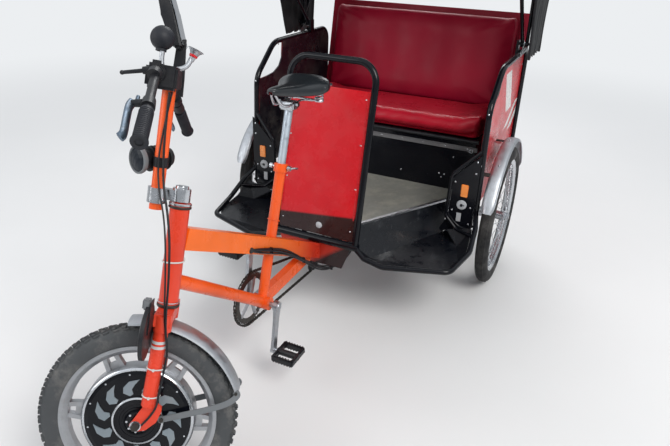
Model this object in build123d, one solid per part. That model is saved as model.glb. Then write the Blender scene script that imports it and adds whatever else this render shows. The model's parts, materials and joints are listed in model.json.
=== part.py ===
from build123d import *
import os
from math import asin, cos, degrees, radians, sin, tan

# Cycle rickshaw: one steered front wheel with a hub motor, a sloping main beam with the rider's saddle and
# cranks, and a two-seat cab between two spoked rear wheels. Millimetres. X forward, Y to the vehicle's left,
# Z up. It is laid out from the ground under the rear axle, and moved at the end so that the origin is on the
# ground in the middle of the whole length. The front wheel is parked turned hard to the right.

# Driving dimensions
wheelbase = 1705
cab_half = 540
wheel_gap = 60
half_track = cab_half + wheel_gap
front_radius = 272
front_tyre_width = 62
front_bead_radius = 206
rear_radius = 320
rear_tyre_width = 56
rear_bead_radius = 258
shoulder_drop = 5
shoulder_share = 0.66
head_rake = 18.5
fork_offset = 39
parked_turn = 60

# Fits and clearances
face_gap = 0.3
running_gap = 0.05

# Front end, measured along and ahead of the steering axis from the height of the wheel's centre
head_tube_bottom = 337
head_tube_top = 599
head_tube_radius = 26
head_bore_radius = 21
bearing_cup_radius = 28
cup_height = 12
steerer_radius = 15
steerer_top = 656
crown_top = head_tube_bottom - cup_height - face_gap
crown_height = 34
leg_spread = 56
leg_radius = 19
lug_radius = 24
leg_bottom = 62
leg_foot_ahead = 12
dropout_thickness = 9
axle_radius = 7
stem_bottom = 604
stem_height = 46
riser_ahead = 62
riser_radius = 17
riser_bottom = 586
bar_height = 930
bar_ahead = 85
bar_radius = 11.1
bar_straight = 70
bar_reach = 345
bar_drop = 150
bar_sweep = 35
bar_bore_radius = 9
bar_bore_depth = 60
grip_radius = 15.5
grip_length = 128

# Main frame
beam_height = 60
beam_width = 50
beam_slope = 28.1
beam_front_x = 1490
beam_front_z = 741
beam_bend_x = 540
spine_rear_x = -130
bracket_x = 1100
bracket_z = 303
bracket_radius = 23
bracket_width = 68
seat_tube_angle = 17.5
seat_tube_radius = 18
seat_tube_top = 775
seat_post_radius = 14
seat_post_top = 950
down_tube_radius = 20
down_tube_level = 400
strut_height = 48
strut_width = 28
strut_front_z = 318
strut_rear_x = 760
strut_rear_z = 326

# Cab
floor_z = 400
floor_thickness = 8
floor_rear_x = -430
nosing_front_x = 655
nosing_front_y = 70
seat_front_x = 0
seat_box_top = 655
seat_box_half = 455
floor_half = seat_box_half + 3
nosing_slope = (floor_half - nosing_front_y) / (nosing_front_x - seat_front_x)
seat_box_wall = 8
seat_board = 12
tub_rear_x = -455
panel_y = cab_half - 12
rail_radius = 12.5
rail_top_z = 1005
rail_bend_x = 90
post_top_x = 250
post_top_z = 870
post_foot_x = 265
post_foot_z = 428
panel_thickness = 6
back_top_z = 1150
back_knee_z = 660
back_face_x = tub_rear_x + 8
back_lean = 11
cushion_half = cab_half - 62
cushion_thickness = 95
back_cushion_thickness = 75
back_cushion_bottom = 695
step_z = 322
tray_thickness = 4
hoop_radius = 13
hoop_half = 178
hoop_foot_x = 697
hoop_foot_z = 372
hoop_top_x = 556
hoop_top_z = 1062
hoop_corner = 78
cross_radius = 16

# Hood
hood_pivot_x = -270
hood_pivot_z = 1050
hood_half = cab_half + 25
bow_length = 880
bow_corner = 190
bow_radius = 8
bow_angles = {"front": 45, "mid": 5, "rear": -35}
bow_side_step = 20
fabric_thickness = 5

# Crank
crank_length = 170
crank_lean = 10
arm_y = 62
chainring_radius = 97
chain_y = -46
pedal_y = 122


def rod(start, end, radius):
    start = Vector(*start)
    direction = Vector(*end) - start
    plane = Plane(origin=start, z_dir=direction)
    return plane.location * Cylinder(radius, direction.length, align=(Align.CENTER, Align.CENTER, Align.MIN))


def bent_rod(points, radii, radius):
    path = FilletPolyline(*points, radius=radii)
    start = path @ 0
    section = Plane(origin=start, z_dir=path % 0) * Circle(radius)
    return sweep(section, path=path)


def block(x, y, z):
    """A box between two values on each axis."""
    size = (x[1] - x[0], y[1] - y[0], z[1] - z[0])
    corner = Pos(x[0], y[0], z[0])
    return corner * Box(*size, align=(Align.MIN, Align.MIN, Align.MIN))


def plate_xz(points, y, thickness):
    """A flat plate in the XZ plane, from y to y plus thickness."""
    outline = Plane.XZ * make_face(Polyline(*points, close=True))
    return Pos(0, y + thickness, 0) * extrude(outline, amount=thickness)


def plate_yz(points, x, thickness):
    """A flat plate in the YZ plane, from x to x plus thickness."""
    outline = Plane.YZ * make_face(Polyline(*points, close=True))
    return Pos(x, 0, 0) * extrude(outline, amount=thickness)


def turned(profile):
    """A profile of (radius, y) turned about the Y axis."""
    return revolve(Plane.XY * make_face(profile), axis=Axis.Y)


def folded_sheet(points, triangles, thickness):
    """A closed sheet from named corner points and the triangles between them, thickened downwards."""
    drop = Vector(0, 0, -thickness)
    top = {name: Vector(*place) for name, place in points.items()}
    faces = []
    edges = {}
    for triangle in triangles:
        corners = [top[name] for name in triangle]
        faces.append(Face(Wire.make_polygon(corners)))
        faces.append(Face(Wire.make_polygon([corner + drop for corner in reversed(corners)])))
        for first, second in zip(triangle, triangle[1:] + triangle[:1]):
            key = frozenset((first, second))
            edges[key] = None if key in edges else (first, second)
    for pair in edges.values():
        if pair:
            first, second = top[pair[0]], top[pair[1]]
            faces.append(Face(Wire.make_polygon([first, first + drop, second + drop, second])))
    return Solid(Shell(faces))


def other_side(shape):
    return shape.mirror(Plane.XZ)


# The steering frame: its z runs up the steering axis, its x is straight ahead
rake = radians(head_rake)
axis_up = Vector(-sin(rake), 0, cos(rake))
axis_ahead = Vector(cos(rake), 0, sin(rake))
turn = radians(parked_turn)
# The turned wheel leans, and its tyre still stands on the ground
lean_sine = sin(turn) * sin(rake)
half_crown = front_tyre_width / 2 * shoulder_share
crown_radius = (half_crown ** 2 + shoulder_drop ** 2) / (2 * shoulder_drop)
turned_height = (front_radius - crown_radius) * cos(asin(lean_sine)) + crown_radius
axis_height = turned_height - fork_offset * cos(turn) * sin(rake)
axis_point = Vector(wheelbase - fork_offset * cos(rake), 0, axis_height)
steering_frame = Plane(origin=axis_point, x_dir=axis_ahead, z_dir=axis_up)


def on_head(shape):
    """Place a fixed piece that is drawn in the steering frame."""
    return steering_frame.location * shape


def steered(shape):
    """Place a piece that turns with the fork, at the parked angle."""
    return steering_frame.location * Rot(0, 0, -parked_turn) * shape


pieces = {}


# Front wheel
def tyre(radius, width, bead_radius, bead_half):
    half = width / 2
    shoulder = radius - shoulder_drop
    crown = half * shoulder_share
    middle = (radius + bead_radius) / 2
    lines = [
        Line((bead_radius, -bead_half), (bead_radius + 8, -bead_half)),
        ThreePointArc((bead_radius + 8, -bead_half), (middle, -half), (shoulder, -crown)),
        ThreePointArc((shoulder, -crown), (radius, 0), (shoulder, crown)),
        ThreePointArc((shoulder, crown), (middle, half), (bead_radius + 8, bead_half)),
        Line((bead_radius + 8, bead_half), (bead_radius, bead_half)),
        Line((bead_radius, bead_half), (bead_radius, -bead_half)),
    ]
    return turned(Wire(lines))


def rim(bead_radius, bead_half, flange, depth):
    """A rim with two flanges outside the beads and a well between them."""
    outer = bead_half + face_gap
    edge = outer + flange
    points = [
        (bead_radius, -outer), (bead_radius + 6, -outer), (bead_radius + 6, -edge),
        (bead_radius - 4, -edge), (bead_radius - depth, -bead_half * 0.6),
        (bead_radius - depth, bead_half * 0.6), (bead_radius - 4, edge),
        (bead_radius + 6, edge), (bead_radius + 6, outer), (bead_radius, outer),
    ]
    return turned(Polyline(*points, close=True))


front_bead_half = 21
rim_depth = 16
spoke_ring_radius = 150
motor_radius = 143
motor_half = 25
face_half = 28
boss_half = 34
motor_end = 42
boss_radius = 62
spoke_groups = 6
blade_count = 11
blade_height = 3


def front_rim():
    """Cast rim: a channel for the tyre, pairs of flat spokes, and the ring that holds the motor."""
    wheel = rim(front_bead_radius, front_bead_half, 3, rim_depth)
    ring = [(motor_radius + running_gap, -20), (spoke_ring_radius, -24), (spoke_ring_radius + 4, -18),
            (spoke_ring_radius + 4, 18), (spoke_ring_radius, 24), (motor_radius + running_gap, 20)]
    wheel += turned(Polyline(*ring, close=True))
    inner = spoke_ring_radius
    outer = front_bead_radius - rim_depth + 4
    spokes = []
    for index in range(spoke_groups):
        for side in (-1, 1):
            spoke = Pos((inner + outer) / 2, 0, side * 18) * Rot(0, 6 * side, 0) * Box(outer - inner, 20, 12)
            spokes.append(Rot(0, 360 / spoke_groups * index, 0) * spoke)
        web = Pos(inner + 12, 0, 0) * Box(20, 8, 30)
        spokes.append(Rot(0, 360 / spoke_groups * index, 0) * web)
    return wheel + spokes


def hub_motor():
    bore = axle_radius + running_gap
    half = [(bore, motor_end), (30, motor_end), (34, boss_half), (boss_radius, boss_half),
            (boss_radius + 8, face_half), (motor_radius - 10, face_half), (motor_radius, motor_half)]
    points = [(radius, -y) for radius, y in half] + [(radius, y) for radius, y in reversed(half)]
    return turned(Polyline(*points, close=True))


# Outline of one hooked blade on the motor's face, as radius and angle about the axle
blade_outline = [(74, -3), (88, 7), (103, 3), (115, -7), (119, -21), (106, -15), (92, -9), (78, -10)]


def hub_blades():
    points = [(radius * cos(radians(angle)), radius * sin(radians(angle))) for radius, angle in blade_outline]
    blade = extrude(make_face(Polyline(*points, close=True)), amount=blade_height)
    blades = []
    for side in (-1, 1):
        face = Rot(90 * side, 0, 0) * Pos(0, 0, face_half)
        for index in range(blade_count):
            blades.append(face * Rot(0, 0, 360 / blade_count * index) * blade)
    return Compound(blades)


wheel_place = Pos(fork_offset, 0, 0)
pieces["front_tyre"] = steered(wheel_place * tyre(front_radius, front_tyre_width, front_bead_radius, front_bead_half))
pieces["front_wheel"] = steered(wheel_place * front_rim())
pieces["hub_motor"] = steered(wheel_place * hub_motor())
pieces["hub_blades"] = steered(wheel_place * hub_blades())


# Fork, stem, riser and handlebar
def fork():
    steerer = Pos(0, 0, crown_top - 20) * Cylinder(
        steerer_radius, steerer_top - crown_top + 20, align=(Align.CENTER, Align.CENTER, Align.MIN))
    crown = block((-22, 22), (-leg_spread - 18, leg_spread + 18), (crown_top - crown_height, crown_top))
    shape = steerer + crown
    outline = [(12, 86), (-24, 60), (-24, 46), (-14, 16), (12, -10), (37, -16), (56, 0), (48, 14), (22, 62)]
    for side in (-1, 1):
        shape += rod((0, side * leg_spread, crown_top - 4), (leg_foot_ahead, side * leg_spread, leg_bottom), leg_radius)
        shape += rod((0, side * leg_spread, crown_top - 4), (0, side * leg_spread, crown_top - crown_height - 14), lug_radius)
        low = side * leg_spread - dropout_thickness / 2
        shape += plate_xz(outline, low, dropout_thickness)
    axle_hole = Pos(fork_offset, 0, 0) * Rot(90, 0, 0) * Cylinder(axle_radius + running_gap, 4 * leg_spread)
    return shape - axle_hole


def stem():
    top = stem_bottom + stem_height
    upright = (Align.CENTER, Align.CENTER, Align.MIN)
    shape = Pos(0, 0, stem_bottom + 12) * Cylinder(24, stem_height - 12, align=upright)
    shape += Pos(riser_ahead, 0, stem_bottom) * Cylinder(riser_radius + 8, stem_height - 6, align=upright)
    shape += block((0, riser_ahead), (-15, 15), (stem_bottom + 12, top - 6))
    shape -= Pos(0, 0, stem_bottom) * Cylinder(steerer_radius, stem_height, align=upright)
    shape -= Pos(riser_ahead, 0, stem_bottom - 1) * Cylinder(riser_radius, stem_height + 2, align=upright)
    return shape


bar_points = [
    (bar_ahead - bar_sweep, bar_reach, bar_height - bar_drop),
    (bar_ahead, bar_straight, bar_height),
    (bar_ahead, -bar_straight, bar_height),
    (bar_ahead - bar_sweep, -bar_reach, bar_height - bar_drop),
]


grip_end = Vector(*bar_points[0])
grip_way = (Vector(*bar_points[1]) - grip_end).normalized()


def handlebar():
    bar = bent_rod(bar_points, 55, bar_radius)
    bore = rod(tuple(grip_end - grip_way), tuple(grip_end + grip_way * bar_bore_depth), bar_bore_radius)
    return bar - bore - other_side(bore)


def riser():
    length = bar_height - riser_bottom - bar_radius - 8
    tube = Pos(riser_ahead, 0, riser_bottom) * Cylinder(riser_radius, length, align=(Align.CENTER, Align.CENTER, Align.MIN))
    tube -= Pos(riser_ahead, 0, riser_bottom - 1) * Cylinder(
        riser_radius - 2.5, 60, align=(Align.CENTER, Align.CENTER, Align.MIN))
    saddle_block = block((riser_ahead - 12, bar_ahead + 22), (-24, 24), (bar_height - 24, bar_height + 18))
    bar_hole = Pos(bar_ahead, 0, bar_height) * Rot(90, 0, 0) * Cylinder(bar_radius, 120)
    return tube + (saddle_block - bar_hole)


def grips():
    far = grip_end + grip_way * grip_length
    sleeve = rod(tuple(grip_end), tuple(far), grip_radius)
    sleeve += rod(tuple(grip_end), tuple(grip_end + grip_way * 5), grip_radius + 2.5)
    sleeve -= rod(tuple(grip_end - grip_way), tuple(far + grip_way), bar_radius)
    return Compound([sleeve, other_side(sleeve)])


def brake_levers():
    root_place = grip_end + grip_way * (grip_length + 34)
    body = rod(tuple(root_place - grip_way * 20), tuple(root_place + grip_way * 14), 17)
    body -= rod(tuple(root_place - grip_way * 40), tuple(root_place + grip_way * 40), bar_radius)
    start = root_place + Vector(34, 0, -6)
    end = grip_end + grip_way * 30 + Vector(36, 0, -10)
    pivot = root_place + Vector(14, 0, -2)
    body += rod(tuple(pivot), tuple(start), 9)
    way = end - start
    blade_plane = Plane(origin=start, x_dir=way, z_dir=Vector(1, 0, 0))
    blade = blade_plane.location * block((-6, way.length), (-10, 10), (-4, 4))
    lever = body + blade
    return Compound([lever, other_side(lever)])


def front_axle():
    half = leg_spread + dropout_thickness / 2
    shape = Rot(90, 0, 0) * Cylinder(axle_radius, 2 * half + 22)
    for side in (-1, 1):
        nut = Rot(90, 0, 0) * Pos(0, 0, side * (half + 5.5)) * extrude(RegularPolygon(12, 6), amount=5, both=True)
        shape += nut
        inner = (motor_end + face_gap, half - dropout_thickness - face_gap)
        collar = Rot(90, 0, 0) * Pos(0, 0, side * sum(inner) / 2) * Cylinder(11, inner[1] - inner[0])
        shape += collar
    return Pos(fork_offset, 0, 0) * shape


def headlight():
    centre = (0, -riser_radius - 39, 712)
    body = Pos(75, centre[1], centre[2]) * Rot(0, 90, 0) * Cylinder(30, 90)
    for index in range(4):
        body += Pos(38 + 14 * index, centre[1], centre[2]) * Rot(0, 90, 0) * Cylinder(36, 5)
    bezel = Pos(118, centre[1], centre[2]) * Rot(0, 90, 0) * Cone(36, 41, 18)
    body += bezel
    body += block((54, 70), (centre[1] + 20, -riser_radius + 1), (centre[2] - 10, centre[2] + 10))
    body -= Pos(riser_ahead, 0, centre[2]) * Cylinder(riser_radius + face_gap, 90)
    return body


def mirror():
    foot_point = grip_end + grip_way * (grip_length + 66)
    foot = Vector(foot_point.X, -foot_point.Y, foot_point.Z)
    way = Vector(grip_way.X, -grip_way.Y, grip_way.Z)
    clamp = rod(tuple(foot - way * 9), tuple(foot + way * 9), 17)
    clamp -= rod(tuple(foot - way * 30), tuple(foot + way * 30), bar_radius)
    plate_y = foot.Y
    arm = plate_xz([(foot.X - 20, foot.Z + 12), (foot.X + 16, foot.Z + 12), (foot.X + 14, foot.Z + 165),
                    (foot.X - 12, foot.Z + 168)], plate_y - 5, 10)
    head_points = [(-10, 140), (16, 135), (55, 215), (82, 300), (76, 322), (58, 318), (28, 245)]
    head = plate_xz([(foot.X + a, foot.Z + b) for a, b in head_points], plate_y - 55, 110)
    return clamp + arm + head


def bulb_horn():
    """The horn's brass: a clamp on the bar, a bent tube and the flared bell. The rubber bulb is apart."""
    low = bar_height + 20
    neck = rod((104, -60, low + 48), (99, -56, low + 18), 11)
    points = [(99, -56, low + 22), (95, -56, low), (60, -56, low), (30, -62, low + 20), (22, -66, low + 50)]
    tube = bent_rod(points, [12, 14, 12], 7)
    bell = Plane(origin=(26, -64, low + 30), z_dir=(-8, -3, 26)).location * Cone(
        10, 22, 32, align=(Align.CENTER, Align.CENTER, Align.MIN))
    clamp = rod((bar_ahead, -62, bar_height), (bar_ahead, -48, bar_height), 16)
    return neck + tube + bell + clamp


def horn_bulb():
    ball = Pos(104, -62, bar_height + 94) * Sphere(31)
    collar = rod((104, -60, bar_height + 60), (104, -61, bar_height + 72), 14)
    return ball + collar


def front_fender():
    outer = front_radius + 15
    band = Rot(90, 0, 0) * (Cylinder(outer, 76) - Cylinder(outer - 2.5, 80))
    wedge = make_face(Polyline((0, 0), *[(500 * cos(radians(a)), 500 * sin(radians(a))) for a in (79, 105, 130, 156)],
                               close=True))
    keep = Pos(0, 60, 0) * extrude(Plane.XZ * wedge, amount=120)
    fender = Pos(fork_offset, 0, 0) * (band & keep)
    for side in (-1, 1):
        low = side * (leg_spread - 14) - 1.5
        fender += plate_xz([(-232, 112), (-226, 128), (-165, 62), (-40, 26), (-26, 30), (-26, 12), (-45, 8),
                            (-178, 44)], low, 3)
        fender += block((-232, -218), tuple(sorted((side * 36, side * (leg_spread - 13)))), (112, 126))
    fender += block((-14, 14), (-12, 12), (outer - 6, crown_top - crown_height))
    return fender


fork_cable_points = [
    (riser_ahead - 6, 26, bar_height - 40), (riser_ahead - 4, 26, 700), (12, 60, 560), (-6, 88, 430),
    (-10, 88, 300), (-22, 67, 225), (-20, 62, 190), (-14, 73, 100), (-10, 73, 52), (22, 67, 8)]
fork_cable_bends = [60, 60, 60, 60, 30, 20, 60, 30]
cable_radius = 3


def fork_cable():
    """The motor's cable: down behind the riser, round the head tube and down the back of the left leg."""
    return bent_rod(fork_cable_points, fork_cable_bends, cable_radius)


disc_radius = 72
disc_y = 112
disc_level = 290
disc_back = 25.3


def front_disc():
    """A round lamp in front of the left fork leg, on a plate from the crown."""
    disc = Pos(disc_back + 5, disc_y, disc_level) * Rot(0, 90, 0) * Cylinder(disc_radius, 10)
    dome = Pos(disc_back + 10, disc_y, disc_level) * Rot(0, 90, 0) * Cone(
        disc_radius - 8, disc_radius - 22, 5, align=(Align.CENTER, Align.CENTER, Align.MIN))
    plate = block((disc_back - 3, disc_back), (48, disc_y + 22), (crown_top - crown_height + 4, crown_top))
    plate += block((disc_back - 3, disc_back), (disc_y - 20, disc_y + 22), (disc_level, disc_level + disc_radius + 12))
    return disc + dome + plate


fork_solid = fork()
pieces["fork"] = steered(fork_solid)
pieces["front_disc"] = steered(front_disc() - fork_solid)
pieces["fork_cable"] = steered(fork_cable())
pieces["front_axle"] = steered(front_axle())
pieces["stem"] = steered(stem())
pieces["riser"] = steered(riser())
bar = handlebar()
pieces["handlebar"] = steered(bar)
pieces["grips"] = steered(grips())
pieces["brake_levers"] = steered(brake_levers())
pieces["headlight"] = steered(headlight())
pieces["mirror"] = steered(mirror() - bar)
horn = bulb_horn() - bar
pieces["bulb_horn"] = steered(horn)
pieces["horn_bulb"] = steered(horn_bulb() - horn)
pieces["front_fender"] = steered(front_fender() - fork_solid)


# Main frame
def head_tube():
    length = head_tube_top - head_tube_bottom
    upright = (Align.CENTER, Align.CENTER, Align.MIN)
    shape = Pos(0, 0, head_tube_bottom) * Cylinder(head_tube_radius, length, align=upright)
    shape -= Pos(0, 0, head_tube_bottom) * Cylinder(head_bore_radius, length, align=upright)
    for bottom in (head_tube_bottom - cup_height, head_tube_top):
        cup = Pos(0, 0, bottom) * Cylinder(bearing_cup_radius, cup_height, align=upright)
        cup -= Pos(0, 0, bottom) * Cylinder(steerer_radius + running_gap, cup_height, align=upright)
        shape += cup
    return on_head(shape)


def main_beam():
    bend_z = beam_front_z - (beam_front_x - beam_bend_x) * tan(radians(beam_slope))
    path = FilletPolyline((beam_front_x, 0, beam_front_z), (beam_bend_x, 0, bend_z), (spine_rear_x, 0, bend_z), radius=120)
    section_plane = Plane(origin=path @ 0, x_dir=(0, 1, 0), z_dir=path % 0)
    beam = sweep(section_plane * Rectangle(beam_width, beam_height), path=path)
    clear = on_head(Pos(0, 0, head_tube_bottom - 100) * Cylinder(
        head_tube_radius, 500, align=(Align.CENTER, Align.CENTER, Align.MIN)))
    return beam - clear, bend_z


def head_point(level):
    return axis_point + axis_up * level


tube_way = Vector(-sin(radians(seat_tube_angle)), 0, cos(radians(seat_tube_angle)))
bracket_point = Vector(bracket_x, 0, bracket_z)


def along_seat_tube(z):
    return bracket_point + tube_way * ((z - bracket_z) / tube_way.Z)


beam, spine_z = main_beam()
seat_tube = rod(tuple(bracket_point), tuple(along_seat_tube(seat_tube_top)), seat_tube_radius)
seat_tube += rod(tuple(along_seat_tube(seat_tube_top - 26)), tuple(along_seat_tube(seat_tube_top)), seat_tube_radius + 5)
shell = Pos(bracket_x, 0, bracket_z) * Rot(90, 0, 0) * Cylinder(bracket_radius, bracket_width)
spindle_bore = Pos(bracket_x, 0, bracket_z) * Rot(90, 0, 0) * Cylinder(9 + running_gap, bracket_width + 2)
post_bore = rod(tuple(along_seat_tube(seat_tube_top - 160)), tuple(along_seat_tube(seat_tube_top + 10)), seat_post_radius)
down_tube = rod(tuple(head_point(down_tube_level)), tuple(bracket_point), down_tube_radius)
head_clear = on_head(Pos(0, 0, head_tube_bottom - 100) * Cylinder(
    head_tube_radius, 500, align=(Align.CENTER, Align.CENTER, Align.MIN)))
strut_start = Vector(bracket_x, 0, strut_front_z)
strut_end = Vector(strut_rear_x, 0, strut_rear_z)
shell_solid = Pos(bracket_x, 0, bracket_z) * Rot(90, 0, 0) * Cylinder(bracket_radius, bracket_width)
pieces["head_tube"] = head_tube()
pieces["main_beam"] = beam - seat_tube
pieces["down_tube"] = down_tube - head_clear - shell_solid - seat_tube
pieces["seat_tube"] = (seat_tube - shell_solid - post_bore) + (shell - spindle_bore)
strut_plane = Plane(origin=strut_start, x_dir=(0, 1, 0), z_dir=strut_end - strut_start)
strut = strut_plane.location * Box(
    strut_width, strut_height, (strut_end - strut_start).length, align=(Align.CENTER, Align.CENTER, Align.MIN))
pieces["rear_strut"] = max((strut - shell_solid - beam - seat_tube).solids(), key=lambda solid: solid.volume)
clamp_point = along_seat_tube(seat_tube_top - 12)
release = rod((clamp_point.X, -34, clamp_point.Z), (clamp_point.X, 34, clamp_point.Z), 4)
release += rod((clamp_point.X, -40, clamp_point.Z), (clamp_point.X, -30, clamp_point.Z), 8)
release += rod((clamp_point.X, 28, clamp_point.Z), (clamp_point.X, 38, clamp_point.Z), 9)
release += rod((clamp_point.X, 34, clamp_point.Z), (clamp_point.X - 46, 42, clamp_point.Z - 10), 5)
pieces["seat_release"] = release - seat_tube
pieces["seat_post"] = rod(tuple(along_seat_tube(seat_tube_top - 150)), tuple(along_seat_tube(seat_post_top)),
                          seat_post_radius)


# Saddle
def saddle():
    top = along_seat_tube(seat_post_top)
    sections = []
    # distance ahead of the post, half width, top height, thickness
    for ahead, half, height, thick in ((118, 14, 92, 20), (40, 32, 84, 34), (-90, 96, 86, 44), (-165, 70, 84, 40)):
        plane = Plane(origin=(top.X + ahead, 0, top.Z + height - thick / 2), x_dir=(0, 1, 0), z_dir=(1, 0, 0))
        sections.append(plane * RectangleRounded(2 * half, thick, min(half, thick / 2) * 0.8))
    pad = loft(sections, ruled=True)
    clamp = block((top.X - 26, top.X + 26), (-25, 25), (top.Z - 2, top.Z + 30))
    rails = None
    for side in (-1, 1):
        rail = bent_rod([(top.X + 100, side * 6, top.Z + 84), (top.X + 60, side * 22, top.Z + 22),
                         (top.X - 60, side * 22, top.Z + 22), (top.X - 120, side * 50, top.Z + 50)], 20, 4)
        spring = rod((top.X - 118, side * 52, top.Z + 10), (top.X - 118, side * 52, top.Z + 58), 17)
        rails = rail + spring if rails is None else rails + rail + spring
    return pad, clamp + rails - pad


saddle_pad, saddle_clamp = saddle()
pieces["saddle"] = saddle_pad
pieces["saddle_rails"] = saddle_clamp - pieces["seat_post"]


# Crank, chainring and pedals
def crank():
    way = Vector(sin(radians(crank_lean)), 0, -cos(radians(crank_lean)))
    spindle = Rot(90, 0, 0) * Cylinder(9, 2 * arm_y)
    shape = spindle
    for side in (-1, 1):
        tip = way * (crank_length * side)
        arm_plane = Plane(origin=(0, side * arm_y, 0), x_dir=tip, z_dir=(0, side, 0))
        arm = arm_plane.location * block((0, crank_length), (-13, 13), (-7, 7))
        shape += arm
        shape += Pos(0, side * arm_y, 0) * Rot(90, 0, 0) * Cylinder(19, 16)
        shape += Pos(tip.X, side * arm_y, tip.Z) * Rot(90, 0, 0) * Cylinder(14, 14)
    ring = Rot(90, 0, 0) * (Cylinder(chainring_radius, 5) - Cylinder(chainring_radius - 14, 6))
    for index in range(5):
        ring += Rot(0, 72 * index, 0) * Pos(chainring_radius / 2, 0, 0) * Box(chainring_radius - 6, 5, 14)
    shape += Pos(0, chain_y, 0) * ring
    for side in (-1, 1):
        tip = way * (crank_length * side)
        shape -= Pos(tip.X, side * arm_y, tip.Z) * Rot(90, 0, 0) * Cylinder(7 + running_gap, 60)
    return Pos(bracket_x, 0, bracket_z) * shape


def pedal(side):
    way = Vector(sin(radians(crank_lean)), 0, -cos(radians(crank_lean))) * (crank_length * side)
    centre = Vector(bracket_x, side * pedal_y, bracket_z) + way
    pin = Rot(90, 0, 0) * Pos(0, 0, side * (pedal_y - arm_y) / 2) * Cylinder(7, pedal_y - arm_y + 14)
    body = Box(98, 86, 26)
    for ahead in (-24, 24):
        body -= Pos(ahead, 0, 0) * Box(26, 62, 30)
    return Pos(*centre) * (body + pin)


pieces["crank"] = crank()
pieces["pedal_left"] = pedal(1)
pieces["pedal_right"] = pedal(-1)


# Rear wheels and axle
rear_bead_half = 17
hub_flange_radius = 32
hub_half = 34
spoke_radius = 1.3
spokes_per_side = 16


def spoked_wheel():
    wheel = rim(rear_bead_radius, rear_bead_half, 2.5, 14)
    hub = Rot(90, 0, 0) * Cylinder(20, 2 * hub_half)
    for side in (-1, 1):
        hub += Pos(0, side * (hub_half - 3), 0) * Rot(90, 0, 0) * Cylinder(hub_flange_radius, 4)
    hub -= Rot(90, 0, 0) * Cylinder(12 + running_gap, 4 * hub_half)
    wheel += hub
    for side in (-1, 1):
        for index in range(spokes_per_side):
            turn = 360 / spokes_per_side * (index + (0.5 if side > 0 else 0))
            skew = 38 if index % 2 else -38
            start = (hub_flange_radius - 5) * Vector(cos(radians(turn + skew)), 0, sin(radians(turn + skew)))
            end = (rear_bead_radius - 11) * Vector(cos(radians(turn)), 0, sin(radians(turn)))
            first = (start.X, side * (hub_half - 3), start.Z)
            wheel += rod(first, (end.X, side * 4, end.Z), spoke_radius)
    return wheel


for name, side in (("left", 1), ("right", -1)):
    place = Pos(0, side * half_track, rear_radius)
    pieces["rear_tyre_" + name] = place * tyre(rear_radius, rear_tyre_width, rear_bead_radius, rear_bead_half)
    pieces["rear_wheel_" + name] = place * spoked_wheel()


sprocket_radius = 40
sprocket_width = 4
idler_x = 640
idler_radius = 22
low_idler_z = 200
high_idler_z = 302
chain_height = 9
chain_width = 9
pitch_gap = chain_height / 2 + face_gap
# Chain wheels in the order the chain runs: x, z, pitch radius, and -1 where the wheel is outside the loop
chain_wheels = [
    (bracket_x, bracket_z, chainring_radius + pitch_gap, 1),
    (idler_x, high_idler_z, idler_radius + pitch_gap, -1),
    (0, rear_radius, sprocket_radius + pitch_gap, 1),
    (idler_x, low_idler_z, idler_radius + pitch_gap, 1),
]


def chain_edge(offset):
    """The closed line that runs at an offset outside the chain's middle."""
    count = len(chain_wheels)
    centres = [Vector(x, z) for x, z, radius, way in chain_wheels]
    radii = [way * radius + offset for x, z, radius, way in chain_wheels]
    leave = []
    reach = []
    for index in range(count):
        following = (index + 1) % count
        run = centres[following] - centres[index]
        tilt = asin((radii[following] - radii[index]) / run.length)
        normal = run.normalized().rotate(Axis.Z, 90 - degrees(tilt))
        leave.append(centres[index] - normal * radii[index])
        reach.append(centres[following] - normal * radii[following])
    edges = []
    for index in range(count):
        arrive = reach[index - 1]
        depart = leave[index]
        centre = centres[index]
        outward = ((arrive - centre) + (depart - centre)).normalized()
        wrap = (arrive - centre).dot(depart - centre)
        turned_left = (arrive - centre).cross(depart - centre).Z
        if radii[index] > 0 and turned_left < 0 and wrap < 0:
            outward = outward * -1
        edges.append(ThreePointArc(arrive, centre + outward * abs(radii[index]), depart))
        edges.append(Line(depart, reach[index]))
    return make_face(Wire([edge for shape in edges for edge in shape.edges()]))


def chain_loop():
    """The chain as one band round the chainring, the two guide wheels and the axle's sprocket."""
    band = Plane.XZ * (chain_edge(chain_height / 2) - chain_edge(-chain_height / 2))
    return Pos(0, chain_y + chain_width / 2, 0) * extrude(band, amount=chain_width)


def guide_wheels():
    """Two guide wheels on pins through a plate on the beam's right side."""
    face = -beam_width / 2 - 0.02
    shape = plate_xz([(idler_x - 14, 188), (idler_x + 14, 188), (idler_x + 14, 314), (idler_x - 14, 314)], face - 4, 4)
    for z in (low_idler_z, high_idler_z):
        shape += Pos(idler_x, chain_y, z) * Rot(90, 0, 0) * Cylinder(idler_radius, 5)
        shape += rod((idler_x, chain_y - 9, z), (idler_x, face, z), 5)
    return shape


def rear_axle():
    shaft = Rot(90, 0, 0) * Cylinder(12, 2 * (half_track + hub_half + 16))
    housing = Rot(90, 0, 0) * Cylinder(22, 2 * (half_track - hub_half - face_gap))
    differential = Pos(0, -112, 0) * Rot(90, 0, 0) * Cylinder(55, 84)
    sprocket = Pos(0, chain_y, 0) * Rot(90, 0, 0) * Cylinder(sprocket_radius, sprocket_width)
    shape = shaft + housing + differential + sprocket
    for side in (-1, 1):
        shape += Pos(0, side * (half_track + hub_half + face_gap + 6), 0) * Rot(90, 0, 0) * Cylinder(18, 12)
    return Pos(0, 0, rear_radius) * shape


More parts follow.
